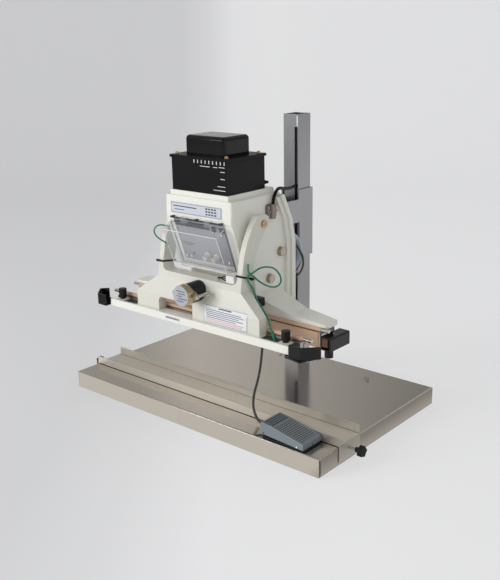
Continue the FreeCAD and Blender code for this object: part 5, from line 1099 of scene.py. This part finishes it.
@dataclass
class ControlFace:
    """Scales, lamps and screw heads on the leaning panel."""

    dial_xs: tuple[float, float] = (3.5, 31.5)
    dial_rise: float = -91.0
    face: float = -2.0
    screws: tuple[tuple[float, float], ...] = ((66.0, -102.0), (66.0, -28.0), (-75.0, -28.0), (41.6, -23.7))
    dark_spots: tuple[tuple[float, float], ...] = ((43.5, -94.9), (45.7, -108.1), (-45.0, -92.0))

    def build(self) -> None:
        """Makes every part of the face."""
        self.scales()
        self.heads()
        self.header()

    def scales(self) -> None:
        """Short marks round both dials."""
        shape = Shape()
        for centre in self.dial_xs:
            for index in range(11):
                angle = math.radians(225 - index * 27)
                radial = (math.cos(angle), math.sin(angle))
                tangent = (-radial[1], radial[0])
                reach = 2.6 if index % 5 == 0 else 1.7
                outline = []
                for along, side in ((11.0, -0.25), (11.0 + reach, -0.25), (11.0 + reach, 0.25), (11.0, 0.25)):
                    outline.append(panel_spot(centre + radial[0] * along + tangent[0] * side, self.face + 0.1,
                                              self.dial_rise + radial[1] * along + tangent[1] * side))
                push = (panel_spot(0, -0.3, 0) - panel_spot(0, 0, 0))
                shape.slab(outline, push)
        fit(shape.finish("dial_scales", [DARK_STRIP_AND_SHADE]), "head")

    def heads(self) -> None:
        """The bright screw heads of the panel, and dark discs at three more spots."""
        points = [panel_spot(x, self.face - 0.6, rise) for x, rise in self.screws]
        turn = (math.pi / 2 - PANEL_LEAN, 0.0, 0.0)
        piece = RoundHeads(points, 3.4, 1.3, turn).build("panel_screw_heads", BRIGHT_STEEL)
        fit(piece, "head")
        # Dark discs at these spots on the face.
        points = [panel_spot(x, self.face - 0.4, rise) for x, rise in self.dark_spots]
        fit(RoundHeads(points, 3.2, 0.6, turn).build("panel_plugs", DARK_STRIP_AND_SHADE), "head")

    def header(self) -> None:
        """The darker band under the hinge and the two ruled lines on the face."""
        shape = Shape()
        push = panel_spot(0, -0.35, 0) - panel_spot(0, 0, 0)
        up = (panel_spot(0, 0, 1) - panel_spot(0, 0, 0)).normalized()
        shape.slab(rounded_outline(panel_spot(-79, self.face + 0.1, -19), ACROSS, up, 112, 14, 1.0), push, 1)
        for start in (40, 64):
            shape.slab(rounded_outline(panel_spot(start, self.face + 0.1, -20), ACROSS, up, 12, 12, 1.0),
                       push * 6, 1)
        shape.slab(rounded_outline(panel_spot(-74, self.face + 0.1, -66), ACROSS, up, 41, 1.4, 0.4), push, 1)
        shape.slab(rounded_outline(panel_spot(-68, self.face + 0.1, -71), ACROSS, up, 28, 0.9, 0.3), push, 1)
        fit(shape.finish("panel_bands", [PANEL, BAND_DARK]), "head")


@dataclass
class HoodEdges:
    """Painted highlights along the edges of the clear hood, where its walls meet and at its open rim, with
    painted shade along its rear edges and its upper and lower rims.
    """

    half: float = 85.0
    line: tuple[tuple[float, float], ...] = ((67.3, 440.4), (40.0, 425.0), (73.4, 338.0), (106.2, 333.5))
    thickness: float = 0.8

    def build(self) -> None:
        """Makes the painted highlights and the painted shade as thin rods along the corners."""
        shape = Shape()
        for side in (-self.half, self.half):
            corners = [spot(side, y, z) for y, z in self.line]
            for start, end in zip(corners, corners[1:]):
                shape.loft(tube_rings([start, end], self.thickness, 8))
            # Darker rods along the rear edges: painted shade.
            shape.loft(tube_rings([corners[0], corners[3]], self.thickness * 1.5, 8), 1)
        for index, (y, z) in enumerate(self.line):
            shape.loft(tube_rings([spot(-self.half, y, z), spot(self.half, y, z)], self.thickness, 8),
                       1 if index in (0, 3) else 0)
        fit(shape.finish("hood_edges", [HOOD_EDGE_HIGHLIGHT, EDGE_DARK]), "hood")


@dataclass
class MotorDetails:
    """The label disc, the ring and the terminals of the timing motor."""

    x: float = 5.0
    z: float = 286.0

    def build(self) -> None:
        """Makes the disc with its ruled lines and the rim."""
        shape = Shape()
        shape.lathe(spot(self.x, 0.6, self.z), BACK, ((0, 23.6), (0.2, 24.2), (0.7, 24.2)), 48)
        for index in range(5):
            start = spot(self.x - 13 + (index % 2) * 6, 0.6, self.z + 11 - index * 6)
            shape.slab(rounded_outline(start, ACROSS, UP, 27 - (index % 3) * 5, 1.6, 0.3),
                       Vector((0, -0.0002, 0)), 1)
        fit(shape.finish("motor_label", [LABEL, DARK_STRIP_AND_SHADE]), "yoke")
        ring = Shape()
        ring.lathe(spot(self.x, 16.2, self.z), BACK, [(0, 25.2), (0.4, 25.9), (2.4, 25.9), (2.8, 25.2)], 48)
        fit(ring.finish("motor_rim", [GOLD_ZINC]), "yoke")
        studs = Shape()
        studs.lathe(spot(17, 38.5, 272), BACK, [(0, 3.2), (0.8, 4.4), (3.4, 4.6), (5.2, 4.6)], 24)
        studs.lathe(spot(52, 36.0, 286), BACK, [(0, 1.6), (0.6, 2.2), (14, 2.2), (14, 3.6), (20.6, 3.6)], 20)
        fit(studs.finish("motor_studs", [BRIGHT_STEEL]), "yoke")


@dataclass
class PostDetails:
    """A painted highlight on the post's corner above its slot."""

    left: float = 18.6
    right: float = 22.6
    front: float = 423.0
    low: float = 636.0
    high: float = 662.0

    def build(self) -> None:
        """Makes the strip."""
        shape = Shape()
        # Painted highlight: a white strip on the corner of the post.
        shape.slab([spot(self.left, self.front, self.low), spot(self.right, self.front, self.low),
                    spot(self.right, self.front, self.high), spot(self.left, self.front, self.high)],
                   Vector((0, -0.0003, 0)))
        fit(shape.finish("post_corner", [WHITE_PLATE_AND_HIGHLIGHT]), "stand")


@dataclass
class StandDetails:
    """Painted shade in the open seam at the table's corner and along the rest's fold, and the bright studs of
    its knobs.
    """

    half: float = 400.0
    stud_y: float = 109.0
    stud_z: float = -13.0
    web: float = 3.0

    def build(self) -> None:
        """Makes the painted shade of the seam and of the fold line, and a sleeve on each stud."""
        shape = Shape()
        # Painted shade: a dark strip on the side skirt where the open corner seam lies in shade.
        shape.slab([spot(self.half, 1.6, -43.5), spot(self.half, 6.4, -43.5), spot(self.half, 6.4, -3.5),
                    spot(self.half, 1.6, -3.5)], Vector((0.0001, 0, 0)))
        fit(shape.finish("corner_seam", [DARK_STRIP_AND_SHADE]), "stand")
        # Painted shade: a thin dark line along the fold between the rest's web and its rear flange.
        fold = BarRows((0.8032, 0.0009, 0.0002), spot(0.0, 151.7, self.web), ACROSS, 1)
        fit(fold.build("rest_fold", DARK_STRIP_AND_SHADE), "rest")
        for body, sign in (("rest_knob_left", -1), ("rest_knob_right", 1)):
            stud = Shape()
            stud.lathe(spot(sign * 402.8, self.stud_y, self.stud_z), ACROSS * sign,
                       ((0, 3.15), (18.2, 3.15)), 24)
            fit(stud.finish(f"{body}_stud", [STUD]), body)


@dataclass
class PedalDetails:
    """The grip tiles of the pedal's tread on painted shade, painted shade between the ribs of its heel, and a
    painted highlight along its upper edge.
    """

    start: float = 238.0
    front: float = 2.5
    width: float = 67.0
    line: tuple[tuple[float, float], ...] = ((1.5, 37.6), (32.0, 35.0), (112.0, 19.0), (117.6, 16.4))

    def build(self) -> None:
        """Makes the painted shade of the recessed tread under its tiles, the painted shade of the heel's
        grooves, the painted highlight of the edge, and the marks.
        """
        slope = math.atan2(16.0, 80.0)
        along = Vector((math.cos(slope), 0, -math.sin(slope)))
        middle = self.front + self.width / 2
        # Painted shade: a dark sheet under the tiles where the tread lies in shade.
        recess = BarRows((0.074, 0.057, 0.0003), spot(self.start + 72, middle, 27.1), along, 1,
                         turn=(0.0, slope, 0.0)).build("pedal_recess", PEDAL_SHADE)
        fit(recess, "pedal_lid")
        tiles = BarRows((0.0038, 0.0038, 0.0012), spot(self.start + 37.5, self.front + 7.4, 34.1),
                        along * 0.0063, 12, Vector((0, 0.0065, 0)), 9,
                        (0.0, slope, 0.0)).build("pedal_tiles", PEDAL_TREAD)
        fit(tiles, "pedal_lid")
        heel = math.atan2(3.0, 30.0)
        down = Vector((0.0065 * math.cos(heel), 0, -0.0065 * math.sin(heel)))
        # Painted shade in the grooves between the heel's ribs.
        grooves = BarRows((0.0032, 0.056, 0.0003), spot(self.start + 9.6, middle, 37.35), down, 4,
                          turn=(0.0, heel, 0.0)).build("pedal_grooves", PEDAL_SHADE)
        fit(grooves, "pedal_lid")
        shape = Shape()
        # Painted highlight along the pedal's upper edge.
        corners = [spot(self.start + x, self.front + 0.5, z) for x, z in self.line]
        for low, high in zip(corners, corners[1:]):
            shape.loft(tube_rings([low, high], 0.55, 8))
        fit(shape.finish("pedal_edge", [PEDAL_EDGE_HIGHLIGHT]), "pedal_lid")
        marks = Shape()
        marks.slab(rounded_outline(spot(self.start + 118, middle - 1.2, 7.5), BACK, UP, 2.4, 5.0, 0.8),
                   Vector((0.0002, 0, 0)))
        marks.slab(rounded_outline(spot(self.start + 7, self.front, 13), ACROSS, UP, 3.6, 3.6, 1.6),
                   Vector((0, -0.0002, 0)))
        fit(marks.finish("pedal_marks", [BLACK_PLASTIC]), "pedal_lid")
        foot = self.start + 98
        tick = Shape()
        tick.slab([spot(foot, self.front, 6.4), spot(foot + 5, self.front, 6.4),
                   spot(foot + 2.4, self.front, 12.6)], Vector((0, -0.0002, 0)))
        fit(tick.finish("pedal_tick", [WHITE_PLATE_AND_HIGHLIGHT]), "pedal_lid")


@dataclass
class JawDetails:
    """Cable ties, wires and small parts by the jaws."""

    drop: float = 322.0
    sheet: tuple[tuple[float, float], ...] = (
        (280, 38), (285, 31), (326, 24.4), (332, 27.5), (345, 62), (290, 62))
    sheet_low: float = 192.6
    troughs: tuple[tuple[str, Finish, float, tuple[tuple[float, float, float], ...]], ...] = (
        ("trough_red", WIRE_RED, 1.3, (
            (214, 62, 204), (228, 56, 205), (246, 54, 203), (262, 49, 203), (280, 52, 204), (296, 58, 206),
            (306, 62, 205))),
        ("trough_orange", WIRE_ORANGE, 1.3, (
            (206, 58, 203), (226, 51, 204), (246, 49, 204), (266, 46, 204), (284, 47, 206), (300, 52, 208),
            (312, 58, 206))),
        ("trough_green", WIRE_GREEN, 1.7, (
            (208, 66, 210), (222, 60, 207), (240, 50, 206), (262, 44, 204), (286, 44, 208), (304, 48, 210))),
        ("trough_left_red", WIRE_RED, 1.3, (
            (-206, 60, 204), (-230, 54, 204), (-252, 46, 204), (-282, 50, 205), (-304, 58, 206))),
        ("trough_left_green", WIRE_GREEN, 1.7, (
            (-204, 64, 206), (-226, 50, 208), (-250, 45, 207), (-276, 46, 209), (-302, 50, 209))),
    )

    def build(self) -> None:
        """Makes the ties, the plug and the wires, the sheet under the front end cap and the rear screw."""
        self.tie("cable_tie_right", 1)
        self.tie("cable_tie_left", -1)
        self.plug()
        sheet = Shape()
        sheet.slab([spot(x, y, self.sheet_low) for x, y in self.sheet], Vector((0, 0, 0.0038)))
        fit(sheet.finish("cap_sheet", [BLACK_GLOSS]), "yoke")
        head = RoundHeads([spot(308.6, 179.3, 211.3)], 2.6, 0.9).build("cover_screw", BRIGHT_STEEL)
        fit(head, "head")

    def tie(self, name: str, side: int) -> None:
        """A black band round one arm of the yoke, with its tail.

        Args:
            name: The piece's name.
            side: 1 for the right arm and -1 for the left.
        """
        shape = Shape()
        inner, outer = 118.6, 134.7
        front, rear = (337.0, self.drop) if side > 0 else (334.5, self.drop + 6)
        ring = [(outer, 65.0, front), (outer, 112.0, rear), (inner, 112.0, rear), (inner, 65.0, front)]
        low = [spot(side * x, y, z) for x, y, z in ring]
        thin = [spot(side * x, y, z) for x, y, z in ((outer - 1, 66.6, front), (outer - 1, 111.0, rear),
                                                     (inner + 1, 111.0, rear), (inner + 1, 66.6, front))]
        rise = UP * 4.2 * MM
        for index in range(4):
            after = (index + 1) % 4
            shape.loft([[low[index], low[after], thin[after], thin[index]],
                        [low[index] + rise, low[after] + rise, thin[after] + rise, thin[index] + rise]])
        if side > 0:
            shape.slab([spot(outer, 96, self.drop + 3), spot(outer, 103, self.drop + 1),
                        spot(outer, 103, self.drop + 8), spot(outer, 96, self.drop + 10)],
                       Vector((0.005, 0, 0)))
        else:
            shape.slab([spot(-outer, 65, 333.5), spot(-outer, 70, 333), spot(-outer, 70, 338.5),
                        spot(-outer, 65, 339)], Vector((-0.005, 0, 0)))
        fit(shape.finish(name, [BLACK_PLASTIC], smooth=False), "yoke")

    def plug(self) -> None:
        """The white wire plug in the window of the yoke, with its black leads."""
        shape = Shape()
        outline = rounded_outline(spot(88, 66, 318), ACROSS, UP, 24, 17, 1.5)
        shape.slab(outline, Vector((0, 0.012, 0)))
        fit(shape.finish("wire_plug", [WHITE_PLASTIC], 0.8), "yoke")
        for index in range(3):
            z = 320.5 + 5.4 * index
            route = ((88.5, 72, z), (78, 73, z - 0.5), (66, 76, 322 + index), (52, 84, 320),
                     (40 + index * 3, 92, 318), (34 + index * 4, 96, 309))
            piece, _ = Line(f"plug_lead_{index}", route, 1.1, CORD_BLACK).tube(8)
            fit(piece, "yoke")
        self.trough()

    def trough(self) -> None:
        """The wires that lie in the open front beam."""
        for name, finish, radius, points in self.troughs:
            piece, _ = Line(name, points, radius, finish).tube(8)
            fit(piece, "yoke")


@dataclass
class Stage:
    """The plain floor, the backdrop, the soft lights and the camera, in metres on the row frame."""

    focal: float = 839.1
    width: int = 500
    sensor: float = 36.0
    yaw: float = 0.7106
    pitch: float = 0.2916
    roll: float = -0.0175
    eye: tuple[float, float, float] = (1.33017, -1.53744, 0.89612)
    aim: tuple[float, float, float] = (0.0, 0.0, 0.35)
    floor_level: float = -0.002
    floor_front: float = -5.0
    floor_back: float = 3.2
    sweep: float = 1.6
    backdrop_top: float = 6.0
    half_width: float = 7.0
    daylight: float = 0.46
    seen_share: float = 0.52
    painted_reflection_share: float = 0.8
    seen_span: tuple[float, float] = (-1.0, 0.8)
    painted_reflection_span: tuple[float, float] = (-4.2, 0.9)
    seen_stops: tuple[tuple[float, str], ...] = (
        (0.08, "D5D5D6"), (0.29, "D7D7D8"), (0.405, "E7E7E8"), (0.51, "FCFCFD"), (0.667, "FFFFFF"),
        (0.955, "FDFDFE"))
    # Painted reflection: the light and dark bands that glossy rays see on the floor and backdrop along x.
    painted_reflection_stops: tuple[tuple[float, str], ...] = (
        (0.06, "B0ADA9"), (0.137, "DCD9D5"), (0.41, "949290"), (0.51, "7E7C7A"), (0.608, "8C8A88"),
        (0.706, "F8F6F3"), (0.894, "F8F6F3"), (0.912, "8C8986"), (0.93, "8C8986"), (0.95, "F6F4F1"))
    lamps: tuple[tuple[str, tuple[float, float, float], float, float], ...] = (
        ("key", (-1.7, -3.2, 1.25), 65.0, 2.0),
        ("fill", (3.0, -1.1, 1.4), 9.0, 2.4),
        ("softbox", (-2.35, -3.24, 1.2), 9.0, 0.8))

    def build(self) -> None:
        """Makes the stage."""
        self.camera()
        self.floor()
        self.lights()
        bpy.context.scene.view_settings.view_transform = "Standard"

    def camera(self) -> None:
        """The camera at the photograph's place."""
        data = bpy.data.cameras.new("camera")
        data.sensor_fit = "HORIZONTAL"
        data.sensor_width = self.sensor
        data.lens = self.focal / self.width * self.sensor
        data.clip_end = 60.0
        piece = bpy.data.objects.new("camera", data)
        bpy.context.scene.collection.objects.link(piece)
        ahead = Vector((-math.sin(self.yaw) * math.cos(self.pitch), math.cos(self.yaw) * math.cos(self.pitch),
                        -math.sin(self.pitch)))
        flat = Vector((math.cos(self.yaw), math.sin(self.yaw), 0.0))
        top = flat.cross(ahead)
        right = flat * math.cos(self.roll) + top * math.sin(self.roll)
        up = top * math.cos(self.roll) - flat * math.sin(self.roll)
        turn = Matrix((right, up, -ahead)).transposed().to_4x4()
        piece.matrix_world = Matrix.Translation(self.eye) @ turn
        bpy.context.scene.camera = piece

    def floor(self) -> None:
        """A floor that curves up into the backdrop."""
        shape = Shape()
        profile = [(self.floor_front, self.floor_level), (self.floor_back, self.floor_level)]
        for step in range(1, 9):
            angle = math.radians(step * 11.25)
            profile.append((self.floor_back + self.sweep * math.sin(angle),
                            self.sweep - self.sweep * math.cos(angle) + self.floor_level))
        profile.append((self.floor_back + self.sweep, self.backdrop_top))
        rows = []
        for distance, height in profile:
            along = Vector((-math.sin(self.yaw), math.cos(self.yaw), 0.0)) * distance
            side = Vector((math.cos(self.yaw), math.sin(self.yaw), 0.0)) * self.half_width
            rise = UP * height
            rows.append([along - side + rise, along + side + rise])
        verts = [[shape.mesh.verts.new(p) for p in row] for row in rows]
        for low, high in zip(verts, verts[1:]):
            shape.mesh.faces.new((low[0], low[1], high[1], high[0]))
        floor = shape.finish("floor", [])
        floor.data.materials.append(self.floor_material())
        world = bpy.data.worlds.new("studio")
        world.use_nodes = True
        tree = world.node_tree
        light = tree.nodes["Background"]
        light.inputs["Color"].default_value = (1.0, 1.0, 1.0, 1.0)
        light.inputs["Strength"].default_value = self.daylight
        bpy.context.scene.world = world

    def floor_material(self) -> bpy.types.Material:
        """The pale matt material of floor and backdrop, which the camera sees at a set paleness and glossy
        rays see as light and dark bands along x: a painted reflection for the metals.

        Returns:
            The material.
        """
        made = bpy.data.materials.new("studio_floor")
        made.use_nodes = True
        tree = made.node_tree
        shader = tree.nodes["Principled BSDF"]
        shader.inputs["Base Color"].default_value = linear("EDEEF0")
        shader.inputs["Roughness"].default_value = 0.8
        rays = add_node(tree, "ShaderNodeLightPath")
        place = add_node(tree, "ShaderNodeTexCoord")
        split = add_node(tree, "ShaderNodeSeparateXYZ")
        across = add_node(tree, "ShaderNodeVectorMath", {1: (math.cos(self.yaw), math.sin(self.yaw), 0.0)},
                          operation="DOT_PRODUCT")
        tree.links.new(place.outputs["Object"], split.inputs[0])
        tree.links.new(place.outputs["Object"], across.inputs[0])
        seen = self.glow(tree, across.outputs["Value"], self.seen_span, self.seen_stops)
        painted_reflection = self.glow(tree, split.outputs["X"], self.painted_reflection_span, self.painted_reflection_stops)
        direct = add_node(tree, "ShaderNodeMath", operation="MAXIMUM")
        tree.links.new(rays.outputs["Is Camera Ray"], direct.inputs[0])
        tree.links.new(rays.outputs["Is Transmission Ray"], direct.inputs[1])
        first = self.blend(tree, direct.outputs[0], self.seen_share, shader.outputs[0], seen)
        second = self.blend(tree, rays.outputs["Is Glossy Ray"], self.painted_reflection_share, first, painted_reflection)
        tree.links.new(second, tree.nodes["Material Output"].inputs["Surface"])
        return made

    @staticmethod
    def glow(tree: bpy.types.NodeTree, place: bpy.types.NodeSocket, span: tuple[float, float],
             stops: tuple[tuple[float, str], ...]) -> bpy.types.NodeSocket:
        """An even glow that changes its colour along one axis.

        Args:
            tree: The material's node tree.
            place: The coordinate along the axis, in metres.
            span: Where the change starts and ends.
            stops: Each colour with its place along the span, from 0 to 1.

        Returns:
            The glow's shader.
        """
        along = add_node(tree, "ShaderNodeMapRange", {"From Min": span[0], "From Max": span[1]})
        tree.links.new(place, along.inputs["Value"])
        ramp = tree.nodes.new("ShaderNodeValToRGB")
        while len(ramp.color_ramp.elements) < len(stops):
            ramp.color_ramp.elements.new(0.5)
        for element, (position, code) in zip(ramp.color_ramp.elements, stops):
            element.position = position
            element.color = linear(code)
        tree.links.new(along.outputs["Result"], ramp.inputs["Fac"])
        light = tree.nodes.new("ShaderNodeEmission")
        tree.links.new(ramp.outputs["Color"], light.inputs["Color"])
        return light.outputs[0]

    @staticmethod
    def blend(tree: bpy.types.NodeTree, when: bpy.types.NodeSocket, share: float, under: bpy.types.NodeSocket,
              over: bpy.types.NodeSocket) -> bpy.types.NodeSocket:
        """Mixes one shader over another for some kinds of ray.

        Args:
            tree: The material's node tree.
            when: 1 for the rays that see the upper shader.
            share: How much of the upper shader they see.
            under: The lower shader.
            over: The upper shader.

        Returns:
            The mixed shader.
        """
        part = add_node(tree, "ShaderNodeMath", {1: share}, operation="MULTIPLY")
        tree.links.new(when, part.inputs[0])
        mixer = tree.nodes.new("ShaderNodeMixShader")
        tree.links.new(part.outputs[0], mixer.inputs[0])
        tree.links.new(under, mixer.inputs[1])
        tree.links.new(over, mixer.inputs[2])
        return mixer.outputs[0]

    def lights(self) -> None:
        """A broad key light and a small softbox from the left front, and a fill from the right."""
        for name, place, power, size in self.lamps:
            data = bpy.data.lights.new(name, "AREA")
            data.energy = power
            data.size = size
            piece = bpy.data.objects.new(name, data)
            piece.location = place
            ahead = Vector(self.aim) - Vector(place)
            piece.rotation_euler = ahead.to_track_quat("-Z", "Y").to_euler()
            piece.visible_glossy = name != "key"
            bpy.context.scene.collection.objects.link(piece)


@dataclass
class Sealer:
    """The whole dressed machine."""

    frame: dict

    def build(self) -> None:
        """Dresses the CAD nodes and adds every piece that the drawing leaves to the looks."""
        CadDresser(NODE_FINISHES).dress(self.frame["nodes"])
        TransformerDetails().build()
        Plates().build()
        ControlFace().build()
        HoodEdges().build()
        MotorDetails().build()
        PostDetails().build()
        StandDetails().build()
        PedalDetails().build()
        JawDetails().build()
        Cables().build()


def main() -> None:
    logging.basicConfig(level=logging.INFO, format="%(name)s %(message)s")
    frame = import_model()
    Sealer(frame).build()
    Stage().build()
    bpy.context.view_layer.update()


if __name__ == "__main__":
    main()
